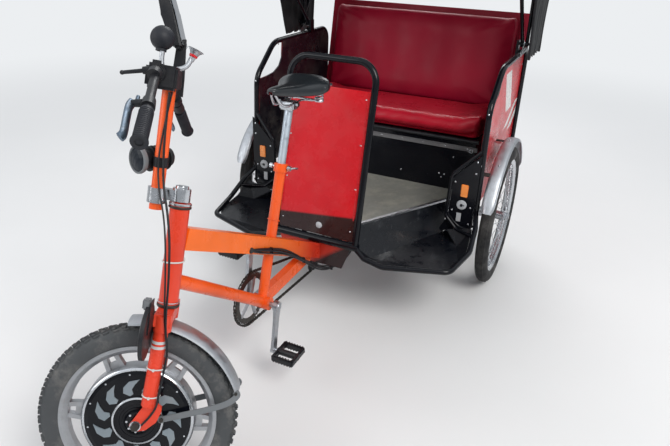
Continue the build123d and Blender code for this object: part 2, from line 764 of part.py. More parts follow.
def rear_chassis():
    rail_z = (floor_z - floor_thickness - 30, floor_z - floor_thickness)
    shape = None
    for side in (-1, 1):
        span = tuple(sorted((side * 165, side * 195)))
        rail = block((tub_rear_x, 420), span, rail_z)
        shape = rail if shape is None else shape + rail
        drop = tuple(sorted((side * 170, side * 190)))
        shape += block((-40, 40), drop, (rear_radius - 35, rail_z[0]))
        way = Vector(hoop_foot_x - 400, side * -130, -6)
        arm = Plane(origin=(400, side * 180, rail_z[1] - 14), x_dir=Vector(0, 0, 1).cross(way), z_dir=way)
        shape += arm.location * block((-10, 10), (-12, 12), (0, way.length))
    reach = cab_half + rail_radius
    for x, half in ((tub_rear_x - 35, reach), (-130, cab_half - 30), (250, 195)):
        shape += block((x, x + 40), (-half, half), rail_z)
    spine_top = spine_z + beam_height / 2
    shape += block((-130, -90), (-20, 20), (spine_top, rail_z[0]))
    shape += block((250, 280), (-20, 20), (spine_top, rail_z[0]))
    reach = hoop_half + hoop_radius
    front = rod((hoop_foot_x, -reach, hoop_foot_z), (hoop_foot_x, reach, hoop_foot_z), cross_radius)
    return shape - front, front


def hoop_apron(front):
    """A thin fairing from the cross tube down to the beam, with a notch for the chain."""
    outline = [(-165, hoop_foot_z), (-124, 262), (124, 262), (165, hoop_foot_z)]
    notch = block((hoop_foot_x - 10, hoop_foot_x + 10), (chain_y - 14, chain_y + 14), (250, 316))
    return plate_yz(outline, hoop_foot_x - 3, 6) - front - beam - notch


axle = rear_axle()
chassis, front_cross = rear_chassis()
pieces["rear_axle"] = axle
pieces["rear_chassis"] = (chassis - axle) + (front_cross - beam)
pieces["hoop_apron"] = hoop_apron(front_cross)
pieces["chain"] = chain_loop()
pieces["guide_wheels"] = guide_wheels()
frame_cable_radius = 5
cable_y = beam_width / 2 + frame_cable_radius + face_gap
frame_cable_points = [
    (1180, cable_y, 556), (979, cable_y, 458), (850, cable_y, 352), (722, cable_y, 250), (600, cable_y, 190),
    (451, cable_y, 161), (330, cable_y, 196), (250, cable_y, 250)]
frame_cable_bends = [120, 120, 120, 120, 120, 100]
pieces["frame_cable"] = bent_rod(frame_cable_points, frame_cable_bends, frame_cable_radius)


# Cab floor and steps
def nosing_y(x):
    return nosing_front_y + (nosing_front_x - x) * nosing_slope


def cab_floor():
    outer = nosing_y(seat_front_x)
    points = [(nosing_front_x, nosing_front_y), (seat_front_x, outer), (floor_rear_x, outer)]
    outline = points + [(x, -y) for x, y in reversed(points)]
    face = make_face(Polyline(*outline, close=True))
    return Pos(0, 0, floor_z - floor_thickness) * extrude(face, amount=floor_thickness)


# Corners of the left step tray, from the floor's nosing down to the step rail
tray_points = {
    "nosing_front": (650, nosing_y(650) + 0.4, floor_z - 4),
    "nosing_rear": (120, nosing_y(120) + 0.4, floor_z - 4),
    "fold_front": (612, nosing_y(612) + 120, 292),
    "fold_rear": (232, nosing_y(232) + 86, 292),
    "rail_foot": (690, 196, 362),
    "rail_corner": (698, 240, 330),
    "rail_front": (688, 300, step_z - 6),
    "rail_side": (614, 520, step_z - 6),
    "rail_outer": (560, 560, step_z - 4),
    "rail_rear": (420, 562, 332),
    "rail_rise": (330, 553, 380),
    "side_fold": (365, 505, 304),
    "wing_foot": (300, nosing_y(300) + 160, 340),
}
tray_faces = [
    ("nosing_front", "nosing_rear", "fold_rear"),
    ("nosing_front", "fold_rear", "fold_front"),
    ("nosing_front", "fold_front", "rail_foot"),
    ("rail_foot", "fold_front", "rail_corner"),
    ("rail_corner", "fold_front", "rail_front"),
    ("rail_front", "fold_front", "rail_side"),
    ("fold_front", "fold_rear", "side_fold"),
    ("fold_front", "side_fold", "rail_side"),
    ("rail_side", "side_fold", "rail_outer"),
    ("rail_outer", "side_fold", "rail_rear"),
    ("side_fold", "rail_rise", "rail_rear"),
    ("side_fold", "wing_foot", "rail_rise"),
    ("fold_rear", "wing_foot", "side_fold"),
]
tray = folded_sheet(tray_points, tray_faces, tray_thickness)


def step_rail():
    loop = bent_rod([
        (hoop_foot_x, hoop_half - 1, hoop_foot_z), (712, 222, 342), (708, 300, step_z), (622, 545, step_z),
        (450, 578, step_z + 12), (345, 568, 392), (post_foot_x, cab_half + 6, 436)],
        [22, 45, 42, 70, 40], 11)
    wing = bent_rod([
        (post_foot_x - 6, cab_half, 700), (post_foot_x + 24, 432, 590), (post_foot_x + 26, 424, 400),
        (post_foot_x + 40, 480, 352), (380, 570, 370)],
        [40, 30, 25], 8)
    return loop + wing


wing_points = [
    (545, 689), (452, 594), (441, 576), (433.2, 416), (442, 398), (486, 361), (535, 361), (535, 440), (545, 470)]
wing_panel = plate_yz(wing_points, post_foot_x + 21, 4)


def side_frame():
    return bent_rod([
        (tub_rear_x - 15, cab_half, floor_z - floor_thickness), (tub_rear_x - 15, cab_half, rail_top_z),
        (rail_bend_x, cab_half, rail_top_z), (post_top_x, cab_half, post_top_z),
        (post_foot_x, cab_half + 6, post_foot_z)], [60, 110, 90], rail_radius)


frame_left = side_frame()
rail_left = step_rail()
hoop = bent_rod([
    (hoop_foot_x, hoop_half, hoop_foot_z), (hoop_top_x, hoop_half, hoop_top_z), (hoop_top_x, -hoop_half, hoop_top_z),
    (hoop_foot_x, -hoop_half, hoop_foot_z)], hoop_corner, hoop_radius)
pieces["cab_floor"] = cab_floor()
pieces["step_tray_left"] = tray - rail_left - front_cross
pieces["step_rail_left"] = rail_left - frame_left - hoop - front_cross
pieces["wing_panel_left"] = wing_panel
pieces["side_frame_left"] = frame_left
pieces["grab_hoop"] = hoop - front_cross


# Seat box, panels and cushions
def seat_box():
    outer = block((tub_rear_x + 8, seat_front_x), (-seat_box_half, seat_box_half), (floor_z, seat_box_top))
    inner = block((tub_rear_x, seat_front_x - seat_box_wall),
                  (-seat_box_half + seat_box_wall, seat_box_half - seat_box_wall), (floor_z - 1, seat_box_top - seat_board))
    return outer - inner


def side_panel():
    front = post_top_x - rail_radius - 2
    rear = tub_rear_x - 15
    points = [
        (post_foot_x, post_foot_z + 6), (post_top_x, 860), (front - 60, 862), (front - 120, 868),
        (front - 170, 890), (front - 196, 925), (front - 204, rail_top_z), (rear + 60, rail_top_z),
        (rear + 18, rail_top_z - 18), (rear, rail_top_z - 60), (rear, floor_z + 2)]
    panel = plate_xz(points, panel_y, panel_thickness) - frame_left - rail_left
    return max(panel.solids(), key=lambda solid: solid.volume)


lean = radians(back_lean)
seat_rear_x = (back_face_x + face_gap / cos(lean) - (back_cushion_bottom - back_knee_z) * tan(lean)
               + back_cushion_thickness + face_gap)


def back_panel():
    shift = (back_top_z - back_knee_z) * tan(lean)
    thick = panel_thickness + 1
    points = [(back_face_x, floor_z), (back_face_x, back_knee_z), (back_face_x - shift, back_top_z),
              (back_face_x - shift - thick, back_top_z), (back_face_x - thick, back_knee_z - 2),
              (back_face_x - thick, floor_z)]
    return plate_xz(points, -panel_y, 2 * panel_y)


def seat_cushion():
    z = seat_box_top + face_gap
    back = seat_rear_x
    roll = cushion_thickness / 2
    slab = block((back, seat_front_x - 10), (-cushion_half, cushion_half), (z, z + cushion_thickness - 14))
    nose = Pos(seat_front_x - 10, 0, z + roll) * Rot(90, 0, 0) * Cylinder(roll, 2 * cushion_half)
    return slab + nose


def back_cushion():
    base = back_cushion_bottom
    low_x = seat_rear_x - face_gap
    top = back_top_z - 4
    shift = (top - base) * tan(lean)
    points = [(low_x, base), (low_x - shift, top), (low_x - shift - back_cushion_thickness, top),
              (low_x - back_cushion_thickness, base)]
    return plate_xz(points, -cushion_half - 18, 2 * cushion_half + 36)


cushion = seat_cushion()
pieces["seat_box"] = seat_box()
pieces["battery"] = block((-330, -110), (-120, 120), (floor_z, floor_z + 180))
pieces["seat_cushion"] = cushion
pieces["back_cushion"] = back_cushion()
pieces["back_panel"] = back_panel() - frame_left - other_side(frame_left)
pieces["side_panel_left"] = side_panel()
panel_way = Vector(hoop_top_x - hoop_foot_x, 0, hoop_top_z - hoop_foot_z).normalized()
panel_plane = Plane(origin=(hoop_foot_x, 0, hoop_foot_z), x_dir=(0, 1, 0), z_dir=Vector(0, 1, 0).cross(panel_way))
hoop_inner = hoop_half - hoop_radius - face_gap
pieces["hoop_panel"] = panel_plane.location * block((-hoop_inner, hoop_inner), (20, 600), (-3, 3))
trim_z = 610
pieces["seat_trim"] = block((seat_front_x, seat_front_x + 4), (-465, 465), (trim_z - 12, trim_z + 12)) + block(
    (seat_front_x, seat_front_x + 16), (-468, 468), (seat_box_top - 14, seat_box_top))


# Rear fenders
def rear_fender():
    outer = rear_radius + 42
    inner = outer - 2.5
    band = Rot(90, 0, 0) * (Cylinder(outer, 72) - Cylinder(inner, 80))
    wedge = make_face(Polyline((0, 0), *[(700 * cos(radians(a)), 700 * sin(radians(a))) for a in (22, 60, 90, 120, 158)],
                               close=True))
    keep = Pos(0, 60, 0) * extrude(Plane.XZ * wedge, amount=120)
    fender = Pos(0, half_track + 2, rear_radius) * (band & keep)
    panel_face = panel_y + panel_thickness + face_gap
    for angle in (50, 90, 130):
        stay = Rot(0, -angle, 0) * block((outer - 9, outer - 1), (panel_face, half_track - 20), (-12, 12))
        fender += Pos(0, 0, rear_radius) * stay
    return fender


pieces["rear_fender_left"] = rear_fender()


# Hood
def bow_frame(angle):
    """A plane through the pivots whose y runs up the bow, tilted forward by the angle."""
    way = Vector(sin(radians(angle)), 0, cos(radians(angle)))
    normal = Vector(0, 1, 0).cross(way)
    return Plane(origin=(hood_pivot_x, 0, hood_pivot_z), x_dir=(0, 1, 0), z_dir=normal)


def bow(kind, index):
    half = hood_half + bow_side_step * (1 - index)
    frame = bow_frame(bow_angles[kind])
    points = [frame.from_local_coords(place) for place in (
        (half, 0, 0), (half, bow_length, 0), (-half, bow_length, 0), (-half, 0, 0))]
    shape = bent_rod([tuple(p) for p in points], bow_corner, bow_radius)
    for side in (-1, 1):
        eye = Pos(hood_pivot_x, side * half, hood_pivot_z) * Rot(90, 0, 0) * Cylinder(15, 14)
        hole = Pos(hood_pivot_x, side * half, hood_pivot_z) * Rot(90, 0, 0) * Cylinder(6 + running_gap, 30)
        shape = shape + eye - hole
    return shape


for index, kind in enumerate(("rear", "mid", "front")):
    pieces["hood_bow_" + kind] = bow(kind, index)


def hood_pivot():
    pin_start = hood_half - bow_side_step - 12
    pin = rod((hood_pivot_x, pin_start, hood_pivot_z), (hood_pivot_x, hood_half + bow_side_step + 12, hood_pivot_z), 6)
    span = (hood_pivot_x - 18, hood_pivot_x + 18)
    foot = block(span, (pin_start - 10, cab_half + 8), (rail_top_z, rail_top_z + rail_radius + 8))
    tab = block(span, (pin_start - 10, pin_start), (rail_top_z, hood_pivot_z + 16))
    return pin + tab + foot


canopy_start = 20
canopy_half = hood_half + bow_side_step + bow_radius + 8
# The fabric's side below the bows, down to the rail, as x and z
boot_points = [(-420, 1000), (-140, 1005), (40, 1180), (-200, 1330), (-480, 1240), (-560, 1100)]


def canopy():
    """The hood's fabric: an arch from bow to bow, and a side on each hand down to the rail."""
    sections = []
    top = bow_length + bow_radius + 1
    for kind in ("front", "mid", "rear"):
        arch = []
        for grow in (0, fabric_thickness):
            half = canopy_half + grow
            arch.append(FilletPolyline((half, canopy_start), (half, top + grow), (-half, top + grow),
                                       (-half, canopy_start), radius=bow_corner + grow))
        closing = [Line((side * canopy_half, canopy_start), (side * (canopy_half + fabric_thickness), canopy_start))
                   for side in (-1, 1)]
        face = make_face(arch[0].edges() + arch[1].edges() + [edge for line in closing for edge in line.edges()])
        sections.append(bow_frame(bow_angles[kind]) * face)
    boot = plate_xz(boot_points, canopy_half, fabric_thickness)
    return loft(sections, ruled=True) + boot + other_side(boot)


pieces["hood_canopy"] = canopy()
pivot_left = hood_pivot()
pieces["side_frame_left"] = frame_left + pivot_left

# The right-hand pieces mirror the left, and thin pairs are one piece
for name in ("side_frame", "step_tray", "step_rail", "wing_panel", "side_panel", "rear_fender"):
    left = pieces.pop(name + "_left")
    pieces[name + "s"] = Compound([left, other_side(left)])


def main():
    os.makedirs("parts", exist_ok=True)
    whole = Compound([shape for shape in pieces.values()]).bounding_box()
    middle = (whole.min.X + whole.max.X) / 2
    print("shift", round(middle, 3), "length", round(whole.size.X, 1), "width", round(whole.size.Y, 1),
          "height", round(whole.size.Z, 1), "low", round(whole.min.Z, 3))
    for name, shape in pieces.items():
        export_step(Pos(-middle, 0, 0) * shape, "parts/" + name + ".step")


main()
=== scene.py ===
import json
from functools import partial
from math import asin, atan2, cos, pi, radians, sin, tan
import bmesh
import bpy
from mathutils import Matrix, Vector


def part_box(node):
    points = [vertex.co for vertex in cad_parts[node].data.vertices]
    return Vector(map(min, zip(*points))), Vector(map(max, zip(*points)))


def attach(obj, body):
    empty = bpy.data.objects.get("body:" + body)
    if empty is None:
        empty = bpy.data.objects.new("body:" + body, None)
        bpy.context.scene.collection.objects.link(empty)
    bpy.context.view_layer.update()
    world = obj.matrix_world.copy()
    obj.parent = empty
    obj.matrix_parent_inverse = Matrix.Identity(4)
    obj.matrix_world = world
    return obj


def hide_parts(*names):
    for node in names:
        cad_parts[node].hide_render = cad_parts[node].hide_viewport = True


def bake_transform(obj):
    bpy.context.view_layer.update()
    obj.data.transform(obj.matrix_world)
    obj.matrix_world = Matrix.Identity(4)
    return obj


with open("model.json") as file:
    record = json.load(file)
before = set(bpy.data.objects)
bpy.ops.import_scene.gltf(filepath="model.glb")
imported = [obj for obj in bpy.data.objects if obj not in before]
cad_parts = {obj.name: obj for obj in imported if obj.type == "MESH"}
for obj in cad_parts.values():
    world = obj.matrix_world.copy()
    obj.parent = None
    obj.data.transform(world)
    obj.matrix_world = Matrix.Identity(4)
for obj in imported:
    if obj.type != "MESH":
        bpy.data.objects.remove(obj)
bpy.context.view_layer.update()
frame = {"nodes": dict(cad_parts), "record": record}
nodes = frame["nodes"]
scene = bpy.context.scene
scene.view_settings.view_transform = "Standard"

BOTH = (-1, 1)
HANDS = (("left", 1), ("right", -1))
# Millimetres, from the ground under the rear axle: x ahead, y to the left, z up
SHIFT = 536.635
REAR_WHEEL_Y, REAR_WHEEL_Z = 600, 320
CRANK_X, CRANK_Z = 1100, 303
CRANK_LENGTH, CHAINRING_TEETH = 170, 44
CHAIN_Y, CHAIN_PITCH = -46, 12.7
BAR_X, BAR_Z = 85, 930

move = Matrix.Translation


def vec(x, y=0.0, z=0.0):
    return Vector((x, y, z))


def turned(degrees, axis):
    return Matrix.Rotation(radians(degrees), 4, axis)


def facing(way):
    """The turn that takes Z to the given way."""
    return Vector(way).to_track_quat("Z", "Y").to_matrix().to_4x4()


def circle(count, ahead=0.0):
    """Angles round a full circle, moved ahead by a share of one step."""
    return [2 * pi * (index + ahead) / count for index in range(count)]


def spoke(angle, radius=1.0):
    return vec(radius * cos(angle), 0, radius * sin(angle))


def sided(side, points):
    return [vec(x, side * y, z) for x, y, z in points]


def limited(value):
    return min(1.0, max(0.0, value))


# Camera, at the photograph's place
camera_data = bpy.data.cameras.new("camera")
camera_data.sensor_width = 36
camera_data.lens = 31.84
camera = bpy.data.objects.new("camera", camera_data)
camera.location = (2.5852 - 0.536635, 0.9658, 1.4948)
camera.rotation_euler = (radians(63.5385), radians(-1.5393), radians(115.6753))
scene.collection.objects.link(camera)
scene.camera = camera


# Light, floor and background
def area_light(name, place, target, size, power, colour=(1, 1, 1)):
    data = bpy.data.lights.new(name, "AREA")
    data.shape = "DISK"
    data.size = size
    data.energy = power
    data.color = colour
    lamp = bpy.data.objects.new(name, data)
    lamp.location = place
    lamp.rotation_euler = (Vector(target) - Vector(place)).to_track_quat("-Z", "Y").to_euler()
    scene.collection.objects.link(lamp)


area_light("key_light", (2.2, 3.4, 4.2), (0, 0, 0.6), 2.6, 185, (1, 0.98, 0.95))
area_light("fill_light", (3.2, -2.8, 2.6), (0, 0, 0.6), 3.0, 62)
area_light("back_light", (-3.2, -0.8, 3.6), (0, 0, 0.8), 2.6, 80)


def add_node(tree, kind, sockets=(), **values):
    """A shader node with its properties; each socket takes a constant, an output, or a node for its first output."""
    node = tree.nodes.new("ShaderNode" + kind)
    for name, value in values.items():
        setattr(node, name, value)
    for socket, value in dict(sockets).items():
        target = node.inputs[socket]
        if isinstance(value, bpy.types.Node):
            value = value.outputs[0]
        if isinstance(value, bpy.types.NodeSocket):
            tree.links.new(value, target)
        else:
            target.default_value = (*value, 1) if target.type == "RGBA" else value
    return node


# World: a plain backdrop for the camera, a sky brighter overhead for reflections, even light for the rest
world = bpy.data.worlds.new("world")
scene.world = world
world.use_nodes = True
world.node_tree.nodes.clear()
sky = partial(add_node, world.node_tree)
path = sky("LightPath").outputs
seen = sky("Math", {0: path["Is Camera Ray"], 1: path["Is Transmission Ray"]}, operation="MAXIMUM")
height = sky("SeparateXYZ", {0: sky("TexCoord").outputs["Generated"]}).outputs["Z"]
brightness = sky("MapRange", {"Value": height, "From Min": -0.1, "From Max": 0.8, "To Min": 0.26, "To Max": 1.0})
ambient = sky("Background", {"Color": (0.93, 0.96, 1), "Strength": 0.56})
backdrop = sky("Background", {"Color": (0.9, 0.92, 0.94), "Strength": 0.95})
mirrored = sky("Background", {"Color": (0.92, 0.96, 1), "Strength": brightness})
bounced = sky("MixShader", {0: path["Is Glossy Ray"], 1: ambient, 2: mirrored})
sky("OutputWorld", {"Surface": sky("MixShader", {0: seen, 1: bounced, 2: backdrop})})

# Materials
looks = {}


class Shade:
    """One Principled material, with helpers for the procedural nodes behind it."""

    def __init__(self, name, roughness, metallic=0.0, coat=0.0, coat_roughness=0.1, sheen=0.0, specular=0.5):
        self.material = looks[name] = bpy.data.materials.new(name)
        self.material.use_nodes = True
        self.tree = self.material.node_tree
        self.add = partial(add_node, self.tree)
        self.shader = self.tree.nodes["Principled BSDF"]
        for socket, value in (("Roughness", roughness), ("Metallic", metallic), ("Coat Weight", coat),
                              ("Coat Roughness", coat_roughness), ("Sheen Weight", sheen),
                              ("Specular IOR Level", specular)):
            self.shader.inputs[socket].default_value = value
        self.source = self.add("TexCoord").outputs
        self.coords = self.source["Object"]
        self.bumps = {}

    def feed(self, socket, value):
        self.tree.links.new(value, self.shader.inputs[socket])

    def noise(self, scale, detail=4, roughness=0.55, stretch=(1, 1, 1)):
        mapping = self.add("Mapping", {"Vector": self.coords, "Scale": stretch})
        return self.add("TexNoise", {"Vector": mapping, "Scale": scale, "Detail": detail, "Roughness": roughness})

    def ramp(self, value, low, high, start=0.35, end=0.65):
        """A grey from low, where the value is under start, to high, where it is over end."""
        node = self.add("ValToRGB", {"Fac": value})
        for element, place, grey in zip(node.color_ramp.elements, (start, end), (low, high)):
            element.position = place
            element.color = (grey, grey, grey, 1)
        return node.outputs["Color"]

    def mix(self, factor, first, second):
        return self.add("Mix", {0: factor, 6: first, 7: second}, data_type="RGBA").outputs[2]

    def film(self, base, dust, share, grain, start, end):
        """Patches of dust over the base colour."""
        return self.mix(self.ramp(self.noise(*grain), 0.0, share, start, end), base, dust)

    def gloss(self, low, high, grain, start=0.3, end=0.7):
        """Roughness that changes in patches between low and high."""
        self.feed("Roughness", self.ramp(self.noise(*grain), low, min(1.0, high), start, end))

    def bump(self, value, distance, strength):
        node = self.add("Bump", {"Height": value, "Distance": distance, "Strength": strength, **self.bumps})
        self.bumps = {"Normal": node}
        self.feed("Normal", node.outputs[0])


def scaled(colour, factor):
    return tuple(min(1.0, channel * factor) for channel in colour)


def paint(name, colour, roughness, dust_share, dust=(0.35, 0.31, 0.27), chips=None, low=None, line=None, specular=0.34):
    """Sprayed paint with uneven gloss, a film of dust and, where chips is a colour, worn spots.

    Low is the colour on the far side of a soft line: line is (a, b, c, level, softness), and the line lies where
    a * x + b * y + c * z is the level.
    """
    shade = Shade(name, roughness, coat=0.08, specular=specular)
    base = shade.mix(shade.ramp(shade.noise(3.1, 3), 0.0, 1.0, 0.3, 0.7), scaled(colour, 0.84), scaled(colour, 1.1))
    if low:
        *across, level, soft = line
        reach = shade.add("VectorMath", {0: shade.coords, 1: across}, operation="DOT_PRODUCT").outputs["Value"]
        step = shade.add("MapRange", {"Value": reach, "From Min": level - soft, "From Max": level + soft})
        base = shade.mix(step, low, base)
    base = shade.film(base, dust, dust_share, (9, 8, 0.7), 0.48, 0.72)
    if chips:
        base = shade.mix(shade.ramp(shade.noise(85, 3, 0.75), 0.0, 1.0, 0.735, 0.75), base, chips)
    shade.feed("Base Color", base)
    shade.gloss(roughness * 0.75, roughness * 1.9, (14, 6, 0.65), end=0.75)
    shade.bump(shade.noise(220, 2), 0.0002, 0.35)
    shade.bump(shade.noise(26, 3), 0.0006, 0.25)


def metal(name, colour, roughness, stain=(0.25, 0.22, 0.2), stain_share=0.35):
    shade = Shade(name, roughness, 1.0)
    shade.feed("Base Color", shade.film(colour, stain, stain_share, (24, 8, 0.7), 0.5, 0.75))
    shade.gloss(roughness * 0.7, roughness * 1.8, (40, 6, 0.6), end=0.75)
    shade.bump(shade.noise(160, 3, 0.6), 0.0002, 0.3)


def plastic(name, colour, roughness, dust_share, grain=420):
    shade = Shade(name, roughness, specular=0.3)
    shade.feed("Base Color", shade.film(colour, (0.3, 0.28, 0.26), dust_share, (11, 8, 0.7), 0.46, 0.74))
    shade.gloss(roughness * 0.8, roughness * 1.4, (16, 5))
    shade.bump(shade.noise(grain, 2), 0.00025, 0.5)


def hide(name, colour, roughness, dust_share, cell=300, specular=0.22):
    """Leather or vinyl, with cells of grain."""
    shade = Shade(name, roughness, specular=specular)
    base = shade.mix(shade.ramp(shade.noise(2.2, 3), 0.0, 1.0), scaled(colour, 0.86), scaled(colour, 1.12))
    shade.feed("Base Color", shade.film(base, (0.3, 0.2, 0.19), dust_share, (7, 7, 0.7), 0.5, 0.75))
    shade.gloss(roughness * 0.8, roughness * 1.35, (9, 5))
    shade.bump(shade.add("TexVoronoi", {"Vector": shade.coords, "Scale": cell}), 0.0003, 0.35)


def cloth(name, colour, fade_share, weave=900, fade=(0.3, 0.31, 0.33)):
    shade = Shade(name, 0.85, sheen=0.03, specular=0.15)
    shade.feed("Base Color", shade.film(colour, fade, fade_share, (2.6, 6, 0.65), 0.4, 0.72))
    for axis in "XY":
        waves = {"Vector": shade.coords, "Scale": weave / 3, "Distortion": 0.4}
        shade.bump(shade.add("TexWave", waves, bands_direction=axis).outputs["Fac"], 0.0002, 0.3)
    shade.bump(shade.noise(12, 5), 0.003, 0.35)


def glassy(name, colour, roughness=0.08, cells=260, gloss=0.8):
    """Reflector or lamp glass: coloured plastic with a prism pattern under a clear face."""
    shade = Shade(name, roughness, coat=gloss, coat_roughness=0.04, specular=gloss * 0.7)
    base = shade.mix(shade.noise(30, 2), scaled(colour, 0.8), scaled(colour, 1.15))
    grid = shade.add("TexVoronoi", {"Vector": shade.coords, "Scale": cells, "Randomness": 0.0}, distance="CHEBYCHEV")
    shade.feed("Base Color", shade.mix(shade.ramp(grid, 0.0, 1.0, 0.2, 0.7), scaled(colour, 1.5), base))
    shade.bump(grid, 0.0012, 0.8)


def striped_red():
    """The cab's side panels: red with plain white slanted stripes outside, near-black painted shade on the inside
    faces.
    """
    shade = Shade("red_side_panel", 0.24, coat=0.08, specular=0.34)
    base = shade.mix(shade.noise(3.1, 3), (0.5, 0.016, 0.025), (0.6, 0.022, 0.032))
    parts = shade.add("SeparateXYZ", {0: shade.coords}).outputs

    def math(operation, *values):
        return shade.add("Math", enumerate(values), operation=operation)

    mask = 0.0
    # lowest place, highest place (x in the cab, z), and half width along x
    for low, high, half in (((-0.225, 0.668), (-0.44, 0.762), 0.04), ((-0.335, 0.64), (-0.55, 0.742), 0.05),
                            ((-0.235, 0.755), (-0.115, 0.95), 0.062)):
        slope = (high[0] - low[0]) / (high[1] - low[1])
        level = math("COMPARE", parts["Z"], (low[1] + high[1]) / 2, (high[1] - low[1]) / 2)
        line = math("SUBTRACT", parts["X"], math("MULTIPLY", math("SUBTRACT", parts["Z"], low[1]), slope))
        mask = math("MAXIMUM", mask, math("MULTIPLY", level, math("COMPARE", line, low[0] - SHIFT / 1000, half)))
    worn = math("MULTIPLY", mask, shade.ramp(shade.noise(60, 4, 0.7), 1.0, 0.25, 0.66, 0.7))
    base = shade.mix(worn, base, (0.72, 0.7, 0.68))
    # Faces turned in towards the cab are painted near-black: painted shade.
    facing_y = shade.add("SeparateXYZ", {0: shade.source["Normal"]}).outputs["Y"]
    outside = math("GREATER_THAN", math("MULTIPLY", facing_y, parts["Y"]), 0.0)
    base = shade.mix(outside, (0.008, 0.007, 0.011), base)
    shade.feed("Base Color", shade.film(base, (0.35, 0.31, 0.27), 0.16, (9, 8, 0.7), 0.48, 0.72))
    shade.gloss(0.18, 0.45, (14, 6, 0.65), end=0.75)
    shade.bump(shade.noise(26, 3), 0.0006, 0.25)


def scuffed_tray():
    """The black foot trays: gloss with grey scuffs worn by shoes."""
    shade = Shade("tray_black", 0.22, coat=0.1, specular=0.28)
    base = shade.film((0.004, 0.005, 0.008), (0.11, 0.12, 0.13), 0.5, (7, 9, 0.75, (1, 2.4, 1)), 0.58, 0.76)
    shade.feed("Base Color", shade.film(base, (0.26, 0.26, 0.26), 0.2, (70, 6, 0.7, (0.3, 2, 1)), 0.6, 0.74))
    shade.gloss(0.16, 0.6, (10, 7, 0.7), 0.35)
    shade.bump(shade.noise(120, 3), 0.0003, 0.4)
    shade.bump(shade.noise(12, 3), 0.0012, 0.35)


RUST, DARK_RED, SOOT = (0.3, 0.08, 0.04), (0.56, 0.009, 0.016), (0.1, 0.1, 0.1)
paint("orange_paint", (0.83, 0.1, 0.011), 0.26, 0.07, chips=RUST)
# The fork and head tube take the frame's orange darkened towards red: painted shade.
paint("orange_paint_painted_shade", (0.68, 0.048, 0.018), 0.26, 0.07, chips=RUST)
# The beam takes the frame's orange made brighter and yellower, painted sunlight, and darker red behind about x = 0.34
# m, painted shade.
paint("beam_paint_painted_sun_and_shade", (0.9, 0.15, 0.009), 0.26, 0.07, chips=RUST, low=(0.5, 0.03, 0.012),
      line=(1, 0, 0, 0.34, 0.12))
paint("black_paint", (0.003, 0.0035, 0.006), 0.15, 0.04, (0.1, 0.095, 0.09), SOOT, specular=0.2)
paint("red_paint", DARK_RED, 0.22, 0.06)
# The grab hoop's panel turns near-black below about z = 0.47 m: painted shade.
paint("hoop_panel_paint_with_painted_shade", DARK_RED, 0.22, 0.06, low=(0.022, 0.008, 0.008), line=(0, -0.1, 1, 0.47, 0.004))
# The apron takes a dark red-brown for orange paint in shade, and near-black below a soft slanted line: painted shade.
# Its grey patches are dust.
paint("apron_painted_shade", (0.42, 0.024, 0.01), 0.3, 0.12, (0.14, 0.12, 0.11), low=(0.018, 0.006, 0.006),
      line=(0, -0.71, 1, 0.268, 0.012))
paint("blade_grey", (0.2, 0.24, 0.27), 0.35, 0.3)
paint("grey_trim", (0.13, 0.13, 0.135), 0.4, 0.4, (0.3, 0.28, 0.26))
paint("stay_grey", (0.14, 0.15, 0.16), 0.4, 0.3, (0.3, 0.29, 0.27))
paint("reflective_tape", (0.55, 0.55, 0.56), 0.3, 0.35, chips=(0.5, 0.1, 0.05))
paint("floor_grey", (0.2, 0.2, 0.18), 0.5, 0.5, (0.38, 0.37, 0.3))
striped_red()
scuffed_tray()
metal("silver_metal", (0.44, 0.46, 0.49), 0.3)
metal("fender_silver", (0.46, 0.48, 0.51), 0.42, stain_share=0.2)
metal("chrome", (0.58, 0.6, 0.63), 0.2, stain_share=0.25)
metal("post_silver", (0.5, 0.56, 0.62), 0.42, stain_share=0.15)
metal("alloy", (0.42, 0.43, 0.45), 0.36)
metal("blue_grey_metal", (0.13, 0.17, 0.22), 0.36)
metal("dark_steel", (0.07, 0.066, 0.062), 0.38, (0.1, 0.06, 0.04), 0.6)
metal("mirror_glass", (0.4, 0.42, 0.45), 0.05, stain_share=0.1)
plastic("pale_grey", (0.42, 0.44, 0.46), 0.45, 0.25, 300)
plastic("grey_plastic", (0.16, 0.17, 0.18), 0.4, 0.25, 300)
plastic("white_plastic", (0.62, 0.62, 0.6), 0.5, 0.15, 300)
plastic("tyre_rubber", (0.016, 0.016, 0.017), 0.72, 0.22, 260)
# The front tyre's rubber is a lighter grey than the rear tyres' for the sunlit tyre: painted sunlight. The patches over
# it are dust.
plastic("front_rubber_painted_sunlight", (0.062, 0.066, 0.07), 0.72, 0.5, 260)
plastic("grip_rubber", (0.012, 0.014, 0.02), 0.5, 0.06, 300)
plastic("black_plastic", (0.009, 0.01, 0.013), 0.38, 0.07)
glassy("amber_reflector", (0.75, 0.2, 0.015))
glassy("red_reflector", (0.5, 0.01, 0.01))
glassy("lamp_glass", (0.012, 0.015, 0.02), 0.1, 220, 0.12)
hide("seat_vinyl", (0.3, 0.003, 0.022), 0.45, 0.03)
# The bench cushion takes the back's vinyl made brighter: painted sunlight on its front roll.
hide("bench_vinyl_painted_light", (0.4, 0.008, 0.022), 0.3, 0.03)
hide("saddle_leather", (0.012, 0.015, 0.018), 0.2, 0.05, 260, 0.6)
cloth("hood_fabric", (0.012, 0.0125, 0.014), 0.45, fade=(0.1, 0.103, 0.107))
cloth("hood_binding", (0.008, 0.008, 0.01), 0.1, 1400)

